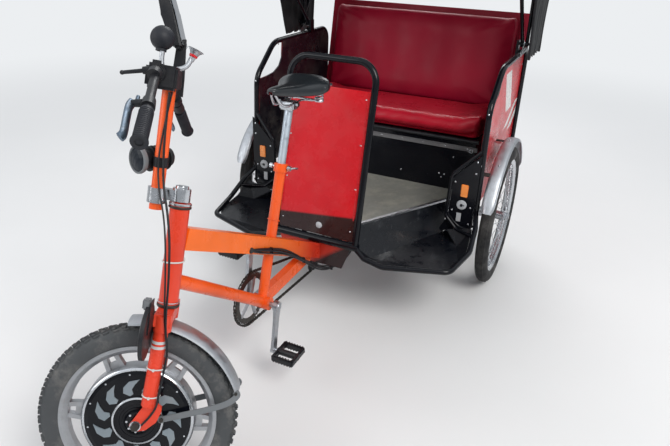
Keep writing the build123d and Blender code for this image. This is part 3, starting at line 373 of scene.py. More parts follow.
slot_looks = {
    "frame_paint": "orange_paint", "red_panel": "red_paint", "chain_steel": "dark_steel",
    **{name: name for name in ("black_paint", "silver_metal", "chrome", "alloy", "tyre_rubber", "grip_rubber",
                               "black_plastic", "floor_grey", "seat_vinyl", "saddle_leather", "hood_fabric")}}
look_slots = {look: slot for slot, look in slot_looks.items()}
node_looks = {
    "side_panels": "red_side_panel", "hoop_apron": "apron_painted_shade", "step_trays": "tray_black",
    "hub_blades": "blade_grey", "back_panel": "seat_vinyl", "seat_post": "post_silver", "fork": "orange_paint_painted_shade",
    "head_tube": "orange_paint_painted_shade", "main_beam": "beam_paint_painted_sun_and_shade", "rear_chassis": "black_paint",
    "hoop_panel": "hoop_panel_paint_with_painted_shade", "front_axle": "dark_steel", "front_disc": "black_plastic"}
node_slot = {part["node"]: part["material_slot"] for part in frame["record"]["subparts"]}
for name, node in nodes.items():
    node.data.materials.clear()
    node.data.materials.append(looks[node_looks.get(name, slot_looks[node_slot[name]])])

# Places: from the ground under the rear axle, and turned with the handlebar in the steering frame
MM = Matrix.Scale(0.001, 4)
steering_pivot = {joint["name"]: joint["pos_m"] for joint in frame["record"]["behaviour"]["joints"]}["steering"]
head_rake = radians(18.5)
axis_up = vec(-sin(head_rake), 0, cos(head_rake))
axis_ahead = vec(cos(head_rake), 0, sin(head_rake))
head_basis = Matrix((axis_ahead, (0, 1, 0), axis_up)).transposed().to_4x4()
body_place = move((-SHIFT / 1000, 0, 0)) @ MM
head_place = move(steering_pivot) @ head_basis @ MM
steer_place = move(steering_pivot) @ head_basis @ turned(-60, "Z") @ MM
front_wheel_place = steer_place @ move((39, 0, 0))
places = {"root": body_place, "steering": steer_place, "front_wheel_body": front_wheel_place,
          "crank_body": body_place @ move((CRANK_X, 0, CRANK_Z))}
CRANK_WAY = vec(sin(radians(10)), 0, -cos(radians(10)))
for hand, side in HANDS:
    places["rear_wheel_" + hand + "_body"] = body_place @ move((0, side * REAR_WHEEL_Y, REAR_WHEEL_Z))
    pedal_centre = vec(CRANK_X, side * 122, CRANK_Z) + CRANK_WAY * CRANK_LENGTH * side
    places["pedal_" + hand + "_body"] = body_place @ move(pedal_centre)
about_y = turned(-90, "X")
ahead_face = turned(90, "Y")
builds = []


class Build:
    """A mesh in millimetres in its body's place, made of plain forms and finished as one piece."""

    def __init__(self, name, body, look, slot=None, replaces=None, place=None, sharp=38):
        self.name, self.body, self.look, self.replaces, self.sharp = name, body, look, replaces, sharp
        self.slot = slot or look_slots[look]
        self.place = place or places[body]
        self.mesh = bmesh.new()
        self.piece = None
        builds.append(self)

    def soften(self, verts, offset, segments=2):
        """Bevels every edge at these vertices."""
        edges = list({edge for vert in verts for edge in vert.link_edges})
        return bmesh.ops.bevel(self.mesh, geom=edges, offset=offset, segments=segments, affect="EDGES")["verts"]

    def box(self, low, high, bevel=0.0, place=Matrix()):
        low, high = Vector(low), Vector(high)
        made = bmesh.ops.create_cube(self.mesh, size=1.0)["verts"]
        bmesh.ops.scale(self.mesh, vec=high - low, verts=made)
        if bevel:
            made = [vert for vert in self.soften(made, bevel) if vert.is_valid]
        linked = list({vert for start in made for face in start.link_faces for vert in face.verts})
        bmesh.ops.transform(self.mesh, matrix=place @ move((low + high) / 2), verts=linked)

    def tube(self, start, end, radius, sides, end_radius=None):
        """A closed tube with so many sides, tapered where end_radius is given."""
        start, end = Vector(start), Vector(end)
        bmesh.ops.create_cone(
            self.mesh, cap_ends=True, segments=sides, radius1=radius,
            radius2=radius if end_radius is None else end_radius, depth=(end - start).length,
            matrix=move((start + end) / 2) @ facing(end - start))

    def pin(self, centre, start, end, radius, sides, end_radius=None):
        """A tube along Y through the centre, from one distance along it to another."""
        self.tube(Vector(centre) + vec(0, start), Vector(centre) + vec(0, end), radius, sides, end_radius)

    def ball(self, centre, radius, scale=(1, 1, 1)):
        bmesh.ops.create_uvsphere(self.mesh, u_segments=20, v_segments=12, radius=radius,
                                  matrix=move(centre) @ Matrix.Diagonal((*scale, 1)))

    def skin(self, rings, around=True, along=False, ends=False):
        """Quads from each ring of points to the next; around closes each ring, along joins the last to the first."""
        rings = [[self.mesh.verts.new(point) for point in ring] for ring in rings]
        for first, second in zip(rings, rings[1:] + (rings[:1] if along else [])):
            for k in range(len(first) if around else len(first) - 1):
                after = (k + 1) % len(first)
                self.mesh.faces.new((first[k], first[after], second[after], second[k]))
        if ends:
            self.mesh.faces.new(rings[0])
            self.mesh.faces.new(list(reversed(rings[-1])))
        return [vert for ring in rings for vert in ring]

    def lathe(self, profile, sides, place=Matrix(), closed=False):
        """A profile of (radius, height) turned about the place's Z axis."""
        self.skin([[place @ vec(r * cos(angle), r * sin(angle), h) for r, h in profile] for angle in circle(sides)],
                  around=closed, along=True)

    def slab(self, outline, thickness, bevel=0.0, segments=3):
        """A flat outline of 3-D points pushed out by the thickness vector."""
        low = [Vector(point) for point in outline]
        made = self.skin([low, [point + Vector(thickness) for point in low]], ends=True)
        if bevel:
            self.soften(made, bevel, segments)

    def sweep(self, points, radius, sides, closed=False, flat=1.0):
        """A tube along the points; flat squeezes it across its path."""
        points = [Vector(point) for point in points]
        count = len(points)
        across = None
        rings = []
        for index, point in enumerate(points):
            before = points[index - 1] if index or closed else point
            after = points[(index + 1) % count] if index < count - 1 or closed else point
            way = (after - before).normalized()
            if across is None:
                across = way.orthogonal().normalized()
            across = (across - way * across.dot(way)).normalized()
            other = way.cross(across) * flat
            rings.append([point + (across * cos(angle) + other * sin(angle)) * radius for angle in circle(sides)])
        self.skin(rings, along=closed, ends=not closed)

    def strap(self, points, normal, width, thick):
        """A flat bar along the points, thick along the normal."""
        normal = Vector(normal).normalized() * (thick / 2)
        rings = []
        for index, point in enumerate(points):
            way = points[min(index + 1, len(points) - 1)] - points[max(index - 1, 0)]
            side = way.cross(normal).normalized() * (width / 2)
            rings.append([point - side - normal, point + side - normal, point + side + normal, point - side + normal])
        self.skin(rings, ends=True)

    def finish(self):
        bmesh.ops.recalc_face_normals(self.mesh, faces=self.mesh.faces)
        data = bpy.data.meshes.new(self.name)
        self.mesh.to_mesh(data)
        self.mesh.free()
        data.transform(self.place)
        data.polygons.foreach_set("use_smooth", [True] * len(data.polygons))
        data.set_sharp_from_angle(angle=radians(self.sharp))
        data.materials.append(looks[self.look])
        self.piece = piece = bpy.data.objects.new(self.name, data)
        scene.collection.objects.link(piece)
        if self.body:
            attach(piece, self.body)
        if self.replaces:
            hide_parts(self.replaces)
        return piece


def smooth_line(points, steps=6):
    """A smooth curve through the points."""
    points = [Vector(point) for point in points]
    line = []
    for a, b, c, d in zip(points[:1] + points, points, points[1:], points[2:] + points[-1:]):
        for step in range(steps):
            t = step / steps
            line.append(0.5 * ((2 * b) + (c - a) * t + (2 * a - 5 * b + 4 * c - d) * t ** 2
                               + (3 * b - a - 3 * c + d) * t ** 3))
    return line + points[-1:]


def rounded_line(points):
    """A smooth curve that starts and ends on the end points and cuts inside the corners between."""
    steps = 7
    points = [Vector(point) for point in points]
    halfway = [(first + second) / 2 for first, second in zip(points, points[1:])]
    halfway[0], halfway[-1] = points[0], points[-1]
    line = [points[0]]
    for start, corner_point, end in zip(halfway, points[1:], halfway[1:]):
        for step in range(1, steps + 1):
            t = step / steps
            line.append(start * (1 - t) ** 2 + corner_point * (2 * t * (1 - t)) + end * t ** 2)
    return line


# Tyres
TREAD_PITCHES = 60


def tyre(name, node, body, look, radius, width, bead, knobs=()):
    """A tyre whose tread reaches the CAD tyre's radius.

    Knobs is a table of (y, degrees ahead, length, width, slant) in one pitch of the tread.
    """
    half = width / 2
    casing = radius - (8 if knobs else 1.5)  # the tread stands out from here
    profile = [(bead, -half * 0.66), (bead + 6, -half * 0.72), (bead + 14, -half * 0.9), ((casing + bead) / 2, -half),
               (casing - 16, -half * 0.93), (casing - 7, -half * 0.76), (casing - 2.5, -half * 0.5)]
    if knobs:
        profile.append((casing - 0.5, -half * 0.2))
    else:
        for y in (-0.42, -0.25, -0.08):
            profile += [(radius - 1.4, half * (y - 0.05)), (radius - 0.6 - 1.5 * abs(y), half * (y - 0.04)),
                        (radius - 0.3 - 1.5 * abs(y), half * (y + 0.04)), (radius - 1.8, half * (y + 0.05))]
    work = Build(name, body, look, "tyre_rubber", node)
    work.lathe(profile + [(r, -y) for r, y in reversed(profile)], 96, about_y, closed=True)
    for angle in circle(TREAD_PITCHES):
        for y, ahead, length, wide, slant in knobs:
            edge = y / half
            reach = radius - 0.8 - 17 * edge ** 2
            for hand in BOTH:
                local = Matrix.Rotation(angle, 4, "Y") @ turned(ahead * hand, "Y") @ move((reach - 4, y * hand, 0))
                work.box((-3.5, -wide / 2, -length / 2), (3.8, wide / 2, length / 2), 0.8,
                         local @ turned(38 * hand * edge, "Z") @ turned(slant * hand, "X"))


tyre("front_tread_tyre", "front_tyre", "front_wheel_body", "front_rubber_painted_sunlight", 272, 60, 206,
     [(5, 0.8, 9, 8, 25), (13.5, 2.6, 12, 7.5, -20), (20.5, 0.9, 15, 6, 12)])
for hand, side in HANDS:
    tyre("rear_road_tyre_" + hand, "rear_tyre_" + hand, "rear_wheel_" + hand + "_body", "tyre_rubber", 320, 56, 258)

# Front wheel: bright rings and bolts, and ridges on the hub's faces
rings = Build("front_wheel_rings", "front_wheel_body", "chrome")
ridges = Build("hub_face_ridges", "front_wheel_body", "black_paint")
for side in BOTH:
    face = about_y if side > 0 else about_y @ turned(180, "X")
    rim_ring = [(142.2, 24), (143, 26.6), (146, 28), (150, 26), (151.5, 23), (150, 20), (143, 20)]
    rings.lathe(rim_ring, 96, face, closed=True)
    rings.lathe([(63.5, 33), (64, 35.6), (66.5, 36), (69, 34.4), (69.5, 30), (64, 30)], 72, face, closed=True)
    for angle in circle(8):
        rings.pin(spoke(angle, 27), side * 41, side * 44.2, 3.2, 6)
    for angle in circle(12, 0.5):
        rings.pin(spoke(angle, 134), side * 26.5, side * 29.6, 2.6, 6)
    ridges.lathe([(35, 33.5), (36, 36), (40, 36.6), (41, 34)], 60, face)
    ridges.lathe([(48, 33.8), (49, 35), (56, 35), (57, 33.8)], 60, face)

# Rear wheels: spoke nipples, hub collar and valve
for hand, side in HANDS:
    work = Build("rear_wheel_fittings_" + hand, "rear_wheel_" + hand + "_body", "chrome")
    for end in BOTH:
        for angle in circle(16, 0.5 if end > 0 else 0):
            work.tube(spoke(-angle, 250) + vec(0, end * 4), spoke(-angle, 236) + vec(0, end * 5), 2.6, 8, 2.0)
    work.lathe([(12.2, side * 36), (17, side * 37), (20, side * 41), (17, side * 44), (12.2, side * 44)], 32, about_y)
    work.tube(spoke(0.2, 244), spoke(0.2, 214), 2.8, 10)

# Front fender, rolled across, with its stays
fender = Build("rolled_front_fender", "steering", "fender_silver", "silver_metal", "front_fender", front_wheel_place)
# y and distance from the axle, once round the rolled section
section = [(-38, 275), (-36.5, 280), (-30, 284.6), (-18, 287), (0, 288), (18, 287), (30, 284.6), (36.5, 280), (38, 275),
           (35, 278.5), (28, 282), (16, 284.5), (0, 285.4), (-16, 284.5), (-28, 282), (-35, 278.5)]
low, high, steps = 79, 156, 44
angles = [radians(low + (high - low) * index / steps) for index in range(steps + 1)]
fender.skin([[spoke(angle, r) + vec(0, y) for y, r in section] for angle in angles], ends=True)
fender.box((-53, -12, 281), (-25, 12, 293), bevel=1.5)
stays = Build("front_fender_stays", "steering", "stay_grey", "silver_metal", place=front_wheel_place)
bolts = Build("front_fender_bolts", "steering", "dark_steel", "silver_metal", place=front_wheel_place)
for side in BOTH:
    stays.strap(smooth_line(sided(side, [(-252, 37, 118), (-258, 40, 106), (-235, 44, 84), (-190, 44, 62),
                                         (-120, 43, 36), (-64, 42, 16)]), 5), (0, 1, 0), 17, 3)
    stays.pin((-64, 0, 16), side * 40.5, side * 45, 10, 24)
    bolts.pin((-64, 0, 16), side * 44, side * 49, 6.5, 6)
    bolts.pin((-254, 0, 112), side * 38, side * 44, 4.5, 6)


# Fork trim: reflective bands, cable ties and the axle's washers
def leg_point(level, side):
    return vec(12 * (320 - level) / 258, side * 56, level)


work = Build("fork_reflective_bands", "steering", "reflective_tape", "silver_metal")
for level in (247, 233):
    for side in BOTH:
        work.tube(leg_point(level, side) - vec(0, 0, 4), leg_point(level, side) + vec(0, 0, 4), 19.5, 40)
work = Build("cable_ties", "steering", "white_plastic", "black_plastic")
for level in (172, 92):
    centre = leg_point(level, 1)
    line = []
    for angle in circle(28):
        behind = max(0.0, -cos(angle)) ** 2
        line.append(centre + vec((20.4 + 5.5 * behind) * cos(angle), (20.4 + 2 * behind) * sin(angle)))
    work.sweep(line, 1.9, 6, closed=True)
    work.box(centre + vec(-3, 19, -3.5), centre + vec(3, 25, 3.5), bevel=0.8)
work = Build("axle_washers", "steering", "chrome", "silver_metal", place=front_wheel_place)
for side in BOTH:
    work.lathe([(7.2, side * 61), (15, side * 61), (15, side * 62.6), (7.2, side * 62.6)], 30, about_y, closed=True)

# Stem: rings, cap and clamp bolts
work = Build("stem_bolts", "steering", "chrome")
work.lathe([(28.4, 605), (29.6, 606.5), (29.6, 610.5), (28.4, 612)], 40)
work.lathe([(0.01, 657.5), (9, 657.5), (16.5, 656.6), (17.2, 654), (17.2, 649)], 36)
for level in (622, 638):
    work.pin((40, 0, level), -16, 16, 4, 12)
for x, y in ((70, -18), (100, -18), (70, 18), (100, 18)):
    work.tube((x, y, 946), (x, y, 951.5), 4.2, 6)

# Bearing rings of the head tube, a cable tie round it and the bracket over the round lamp plate
work = Build("headset_dark_rings", "root", "dark_steel", "silver_metal", place=head_place)
for low, high in ((326, 336), (597, 604)):  # under and over the head tube
    work.lathe([(28.2, low), (30.2, low + 2), (30.2, high - 2), (28.2, high)], 44)
work = Build("headset_bright_ring", "root", "chrome", "silver_metal", place=head_place)
work.lathe([(28.1, 339), (28.9, 339.8), (28.9, 341.2), (28.1, 342)], 44)
work = Build("head_tube_tie", "root", "white_plastic", "black_plastic", place=head_place)
work.sweep([vec(27.8 * cos(a), 27.8 * sin(a), 452 + 3 * sin(a)) for a in circle(36)], 2.2, 6, closed=True)
work.box((-37, 3, 446), (-27, 11, 458), bevel=1.5)
work = Build("lamp_plate_bracket", "steering", "grey_plastic", "black_plastic")
work.box((24, 99, 350), (46, 125, 378), bevel=4)

# Black shell round the bar's clamp, switch housings on the bar and a short rod ahead of the left one
work = Build("bar_clamp_shell", "steering", "black_plastic")
work.box((39, -43, 893), (117, 43, 953), bevel=7)
for low, high, radius in ((46, 76, 20), (80, 98, 17)):
    work.tube((BAR_X, low, BAR_Z), (BAR_X, high, BAR_Z - (high - 70) * 0.3), radius, 30, radius - 1)
work.tube((BAR_X, -98, 922), (BAR_X, -72, 929), 17, 30, 18)
work.box((70, 52, 905), (104, 74, 960), bevel=7)
work.tube((98, 62, 934), (118, 62, 930), 11, 24, 9)
work.tube((112, 62, 931), (166, 60, 917), 5.4, 18, 4.6)
work.ball((166, 60, 917), 5.6)

# Headlight, turned on its bracket to look left of straight ahead
lamp = move((122, -10, 706)) @ facing(vec(0.7, 0.7, -0.14).normalized())
work = Build("headlight_body", "steering", "black_plastic", replaces="headlight")
work.lathe([(0.01, -104), (16, -103), (24, -97), (27, -88), (27.5, -20), (34, -8), (0.01, -7)], 48, lamp)
for low in (-84, -71.5, -59, -46.5, -34):
    fin = [(26, low), (33.5, low + 0.8), (34, low + 2.2), (33.5, low + 3.8), (26, low + 4.6)]
    work.lathe(fin, 44, lamp, closed=True)
work.box((54, -44, 700), (72, -15, 722), bevel=3)
work.tube((62, -1, 698), (62, 1, 724), 19.5, 36)
work = Build("headlight_bezel", "steering", "grey_plastic", "black_plastic")
work.lathe([(29.5, -12), (35, -9), (37.5, -2), (37, 3), (34, 5), (31, 2), (29.5, -4)], 52, lamp, closed=True)
work = Build("headlight_lens", "steering", "lamp_glass", "black_plastic")
work.lathe([(31.5, 1.5), (26, 4.2), (15, 6.4), (0.01, 7.2)], 44, lamp)
work.lathe([(31.5, 1.5), (31, -3), (0.01, -3.5)], 44, lamp)


# Grips and brake levers: tapered blades with a clamp band, in place of the CAD bars
def bar_end(side):
    """The end of one arm of the handlebar, and the way along it to the middle."""
    end = vec(50, side * 345, 780)
    return end, (vec(BAR_X, side * 70, BAR_Z) - end).normalized()


ribs = Build("grip_ribs", "steering", "grip_rubber")
bands = Build("lever_clamps", "steering", "black_plastic", replaces="brake_levers")
blades = Build("lever_blades", "steering", "blue_grey_metal", "black_plastic")
for side in BOTH:
    end, way = bar_end(side)
    for index in range(15):
        spot = end + way * (14 + 7.4 * index)
        ribs.tube(spot, spot + way * 3.4, 16.6, 28)
    ribs.tube(end + way * 3, end + way * 7, 19, 28, 17)
    root = end + way * 162
    bands.tube(root - way * 19, root + way * 13, 16.6, 28, 15)
    bands.tube(root + vec(14, 0, -2), root + vec(36, 0, -6), 9.5, 18, 8)
    start = root + vec(34, 0, -6)
    tip = end + way * 30 + vec(36, 0, -10)
    blades.sweep(smooth_line([start + way * 8, start - way * 20 + vec(5, 0, 1), (start + tip) / 2 + vec(3),
                              tip + way * 14, tip + vec(5, 0, -2)]), 10.5, 12, flat=0.4)
    barrel = root + way * 12 + vec(26, 0, -4)
    blades.tube(barrel, barrel + way * 18, 4.6, 14)

# Held cables: the motor's along the left leg, and the bundle beside the beam
work = Build("fork_cable_runs", "steering", "black_plastic", replaces="fork_cable")
work.sweep(rounded_line([(56, 26, 890), (58, 26, 700), (12, 60, 560), (-6, 88, 430), (-10, 88, 300), (-22, 67, 225),
                         (-20, 62, 190), (-14, 73, 100), (-10, 73, 52), (22, 67, 8)]), 3, 12)
work.sweep(rounded_line([(50, 21, 892), (66, 23, 760), (60, 30, 660), (24, 64, 570), (2, 93, 430), (-6, 86, 310),
                         (-20, 66, 232)]), 2.3, 10)
work = Build("frame_cable_bundle", "root", "black_plastic", replaces="frame_cable")
route = [(1180, 556), (1080, 507), (979, 453), (850, 352), (722, 250), (600, 190), (451, 161), (330, 196), (250, 250)]
for index, (out, up, radius) in enumerate(((0, 0, 4.6), (1.5, 8, 3.4), (3, -7, 3), (6, 1, 2.6))):
    strand = [(x, 30.6 + out, z + up + 3 * sin(x / 55 + 2.1 * index)) for x, z in route]
    work.sweep(rounded_line([(1192, 23, 561)] + strand), radius, 12)
work.tube((1191, 24.4, 560.5), (1191, 29.5, 560.5), 11, 28, 8.5)
for x, z in route[1:6:2]:
    work.box((x - 2.5, 26, z - 11), (x + 2.5, 38.5, z + 14), bevel=1.5)

# Horn: ribbed bulb with a seam, red collar and flared bell
low = 950
bell = move((26, -64, low + 28)) @ facing((-8, -3, 26))
work = Build("horn_bell", "steering", "fender_silver", "chrome", "bulb_horn")
work.sweep(smooth_line([(99, -56, low + 46), (99, -56, low + 18), (92, -56, low + 1), (62, -56, low),
                        (36, -60, low + 12), (26, -64, low + 34)], 8), 6.5, 16)
flare = [(6.5, 0), (8, 10), (11, 20), (15, 27), (21, 31.5), (22, 32), (20, 31), (14, 25), (9, 14), (0.01, 10)]
work.lathe(flare, 40, bell)
work.tube((85, -62, 930), (85, -48, 930), 16, 30)
work = Build("horn_red_rings", "steering", "red_paint")
work.lathe([(8.6, 11), (10.4, 12), (11.6, 17), (10.4, 18)], 36, bell)
work.tube((104, -60, 1006), (104, -61, 1020), 16.4, 30, 15.4)
work = Build("horn_bulb_seam", "steering", "grip_rubber")
work.lathe([(31.3, -1.5), (31.9, 0), (31.3, 1.5)], 40, move((104, -62, 1024)) @ turned(90, "X"))

# Mirror: plate arm with its bolt, wedge head and glass
end, way = bar_end(-1)
foot = end + way * 194
work = Build("mirror_shell", "steering", "black_plastic", replaces="mirror")
work.tube(foot - way * 10, foot + way * 10, 17.4, 30)
arm = [(-19, 10), (15, 10), (17, 60), (13, 165), (-11, 168), (-18, 60)]
work.slab([foot + vec(x, -5, z) for x, z in arm], (0, 10, 0))
head = [(-10, 140), (16, 135), (55, 215), (80, 296), (77, 318), (62, 317), (30, 245)]
work.slab([foot + vec(x, -55, z) for x, z in head], (0, 110, 0), bevel=7, segments=4)
work = Build("mirror_glass", "steering", "mirror_glass", "chrome")
for low, high in (((-10, 150), (21, 238)), ((22, 238), (50, 305))):
    work.slab([foot + vec(x, y, z) for (x, z), y in ((low, -46), (low, 46), (high, 46), (high, -46))], (2, 0, -1))
work = Build("mirror_bolt", "steering", "chrome")
work.pin(foot + vec(-2, 0, 40), 5, 9, 12, 30)
work.pin(foot + vec(-2, 0, 40), 9, 14, 7, 6)

# Saddle: leather top, rails and coil springs
TUBE_LEAN = vec(-sin(radians(17.5)), 0, cos(radians(17.5)))


def seat_tube(level):
    """The place at this level on the seat tube's middle line, which starts at the crank."""
    return vec(CRANK_X, 0, CRANK_Z) + TUBE_LEAN * ((level - CRANK_Z) / TUBE_LEAN.z)


top = seat_tube(950)
rows = []
# distance ahead of the post, half width, top height, depth of the skirt
for ahead, half, height, skirt in (
        (120, 10, 86, 12), (108, 20, 92, 24), (70, 26, 90, 32), (30, 34, 86, 36), (-20, 52, 82, 40), (-60, 82, 83, 42),
        (-100, 97, 88, 42), (-140, 90, 90, 40), (-162, 62, 86, 30), (-170, 30, 80, 14)):
    shares = [k / 12 * 2 - 1 for k in range(13)]
    rows.append([top + vec(ahead, half * sin(t * pi / 2), height - skirt + skirt * (1 - abs(t) ** 2.6) ** 0.5)
                 for t in shares])
work = Build("leather_saddle", "root", "saddle_leather", replaces="saddle", sharp=80)
work.skin(rows, around=False)
piece = work.finish()
thick = piece.modifiers.new("thickness", "SOLIDIFY")
thick.thickness = 0.008
rounded = piece.modifiers.new("rounded", "SUBSURF")
rounded.levels = rounded.render_levels = 2

work = Build("saddle_springs", "root", "chrome", replaces="saddle_rails")
for side in BOTH:
    rail = [(100, 7, 70), (74, 14, 34), (40, 22, 23), (-50, 22, 22), (-90, 40, 14), (-118, 52, 12)]
    work.sweep([top + point for point in smooth_line(sided(side, rail))], 4, 10)
    spring = top + vec(-118, side * 52)
    turns, steps = 4.5, 72
    coil = [(turns * 2 * pi * index / steps, 11 + 44 * index / steps) for index in range(steps + 1)]
    work.sweep([spring + vec(14 * cos(angle), 14 * sin(angle), rise) for angle, rise in coil], 3, 8)
    for low, high in ((52, 57), (7, 11)):
        work.tube(spring + vec(0, 0, low), spring + vec(0, 0, high), 17, 24)
    for x in (-92, -140):
        work.tube(top + vec(x, side * 84, 64), top + vec(x, side * 88, 66), 4.5, 14)
work.pin(top + vec(-118, 0, 9), -52, 52, 4, 12)
work.box(top + vec(-22, -27), top + vec(22, 27, 28), bevel=5)
work.pin(top + vec(0, 0, 20), -32, 32, 5, 16)
for side in BOTH:
    work.pin(top + vec(0, 0, 20), side * 30, side * 36, 8.5, 6)

# Crank set: arms, spider, toothed ring
across = vec(cos(radians(10)), 0, sin(radians(10)))
work = Build("crank_arms", "crank_body", "silver_metal", replaces="crank")
work.pin((0, 0, 0), -62, 62, 9, 24)
widths = ((0.0, 18), (0.12, 15.5), (0.3, 12), (0.7, 11), (0.9, 12.5), (1.0, 13.5))
for side in BOTH:
    tip = CRANK_WAY * CRANK_LENGTH * side
    points = [tip * t + across * half for t, half in widths] + [tip * t - across * half for t, half in widths[::-1]]
    work.slab([point + vec(0, side * 62 - 6) for point in points], (0, 12, 0), bevel=2.5)
    work.pin((0, 0, 0), side * 53, side * 70, 19, 32, 17)
    work.pin((0, 0, 0), side * 70, side * 71.5, 11, 24, 10)
    work.pin(tip, side * 62 - 7, side * 62 + 7, 14, 32)
for angle in circle(5):
    turn = Matrix.Rotation(angle + 0.6, 4, "Y")
    work.box((14, -50, -9), (80, -44, 9), 2, turn)
    work.pin(turn @ vec(76, -47), -5, 5, 5.5, 16)
rim = []
for share, r in ((0.0, 91.5), (0.22, 92.5), (0.38, 97), (0.62, 97), (0.78, 92.5)) * CHAINRING_TEETH:
    tooth = len(rim) // 5
    rim.append(spoke(2 * pi * (tooth + share) / CHAINRING_TEETH, r))
inner = [point.normalized() * 74 for point in rim]
work = Build("toothed_chainring", "crank_body", "dark_steel", "silver_metal")
work.skin([[point + vec(0, y) for point in line]
           for line, y in ((rim, -47.6), (inner, -47.6), (inner, -44.4), (rim, -44.4))], along=True)

# Chain: links along the runs and arcs round its four wheels, as x, z, pitch radius and turning sense
wheels = [(CRANK_X, CRANK_Z, 101.8, 1), (640, 302, 26.8, -1), (0, 320, 44.8, 1), (640, 200, 26.8, 1)]
leave, reach = [], []
for (x1, z1, r1, turn1), (x2, z2, r2, turn2) in zip(wheels, wheels[1:] + wheels[:1]):
    first, second = Vector((x1, z1)), Vector((x2, z2))
    run = second - first
    tilt = asin((r2 * turn2 - r1 * turn1) / run.length)
    normal = Matrix.Rotation(pi / 2 - tilt, 2) @ run.normalized()
    leave.append(first - normal * r1 * turn1)
    reach.append(second - normal * r2 * turn2)
line = []
for index, (x, z, radius, sense) in enumerate(wheels):
    centre = Vector((x, z))
    arrive, depart = reach[index - 1] - centre, leave[index] - centre
    start = atan2(arrive.y, arrive.x)
    arc = (atan2(depart.y, depart.x) - start) % (2 * pi) - (2 * pi if sense < 0 else 0)
    steps = max(2, int(abs(arc) * radius / 4))
    for angle in (start + arc * step / steps for step in range(steps)):
        line.append(centre + Vector((radius * cos(angle), radius * sin(angle))))
    steps = max(2, int((reach[index] - leave[index]).length / 8))
    line += [leave[index].lerp(reach[index], step / steps) for step in range(steps)]
lengths = [(after - point).length for point, after in zip(line, line[1:] + line[:1])]
links = 2 * round(sum(lengths) / CHAIN_PITCH / 2)
spots = []
index, walked = 0, 0.0
for link in range(links):
    target = sum(lengths) * link / links
    while walked + lengths[index] < target:
        walked += lengths[index]
        index += 1
    spots.append(line[index].lerp(line[(index + 1) % len(line)], (target - walked) / lengths[index]))
work = Build("chain_links", "root", "dark_steel", replaces="chain")
for link, (first, second) in enumerate(zip(spots, spots[1:] + spots[:1])):
    way = (second - first).normalized()
    normal = Vector((-way.y, way.x))
    middle, ahead = (first + second) / 2, way * 3.2
    for side in BOTH:
        corners = [first - ahead + normal * 2.6, first + normal * 4.0, middle + normal * 2.8, second + normal * 4.0,
                   second + ahead + normal * 2.6, second + ahead - normal * 2.6, second - normal * 4.0,
                   middle - normal * 2.8, first - normal * 4.0, first - ahead - normal * 2.6]
        low = CHAIN_Y + side * (3.4 if link % 2 else 2.4)
        work.slab([(point.x, low, point.y) for point in corners], (0, side, 0))
    work.pin((first.x, CHAIN_Y, first.y), -4.4, 4.4, 2.4, 8)

# Pedals with ribbed edges and reflectors
for hand, side in HANDS:
    body = "pedal_" + hand + "_body"
    work = Build("pedal_cage_" + hand, body, "black_plastic", replaces="pedal_" + hand)
    for x in (-43, 43):
        work.box((x - 6, -43, -13), (x + 6, 43, 13), bevel=4)
    for y in (-37, 37):
        work.box((-45, y - 6, -12), (45, y + 6, 12), bevel=4)
    work.pin((0, 0, 0), -42, 42, 12, 24)
    for x in (-43, 43):
        for y in range(-33, 34, 11):
            work.box((x - 6.4, y - 1.6, -13.2), (x + 6.4, y + 1.6, 13.2), bevel=0.7)
    work = Build("pedal_pin_" + hand, body, "silver_metal")
    work.pin((0, 0, 0), -side * 67, -side * 40, 7, 20)
    work = Build("pedal_reflectors_" + hand, body, "black_plastic")
    for x in (-49.2, 49.2):
        work.box((x - 0.6, -16, -7), (x + 0.6, 16, 7), bevel=0.3)


# Soft pieces
def applied(piece):
    """Runs the piece's modifiers into its mesh, and clears them."""
    depsgraph = bpy.context.evaluated_depsgraph_get()
    data = bpy.data.meshes.new_from_object(piece.evaluated_get(depsgraph))
    old = piece.data
    piece.modifiers.clear()
    piece.data = data
    bpy.data.meshes.remove(old)


def inflate(piece, held, cap):
    """Blow the closed mesh up as cloth for twenty frames; held(point) is 1 where it rests on something."""
    mesh = piece.data
    start = [vert.co.copy() for vert in mesh.vertices]
    group = piece.vertex_groups.new(name="held")
    for index, point in enumerate(start):
        share = held(point)
        if share > 0:
            group.add([index], share, "REPLACE")
    modifier = piece.modifiers.new("cloth", "CLOTH")
    settings = modifier.settings
    settings.quality = 6
    settings.mass = 0.25
    settings.tension_stiffness = 12
    settings.compression_stiffness = 12
    settings.shear_stiffness = 6
    settings.bending_stiffness = 0.4
    settings.use_pressure = True
    settings.uniform_pressure_force = 4.0
    settings.vertex_group_mass = "held"
    settings.effector_weights.gravity = 0
    modifier.collision_settings.use_collision = False
    for frame_number in range(1, 21):
        scene.frame_set(frame_number)
    evaluated = piece.evaluated_get(bpy.context.evaluated_depsgraph_get())
    ends = [vert.co.copy() for vert in evaluated.to_mesh().vertices]
    evaluated.to_mesh_clear()
    piece.modifiers.clear()
    piece.vertex_groups.clear()
    for vert, before, after in zip(mesh.vertices, start, ends):
        step = after - before
        vert.co = before + step * min(1.0, cap / max(step.length, 1e-9))
    scene.frame_set(1)


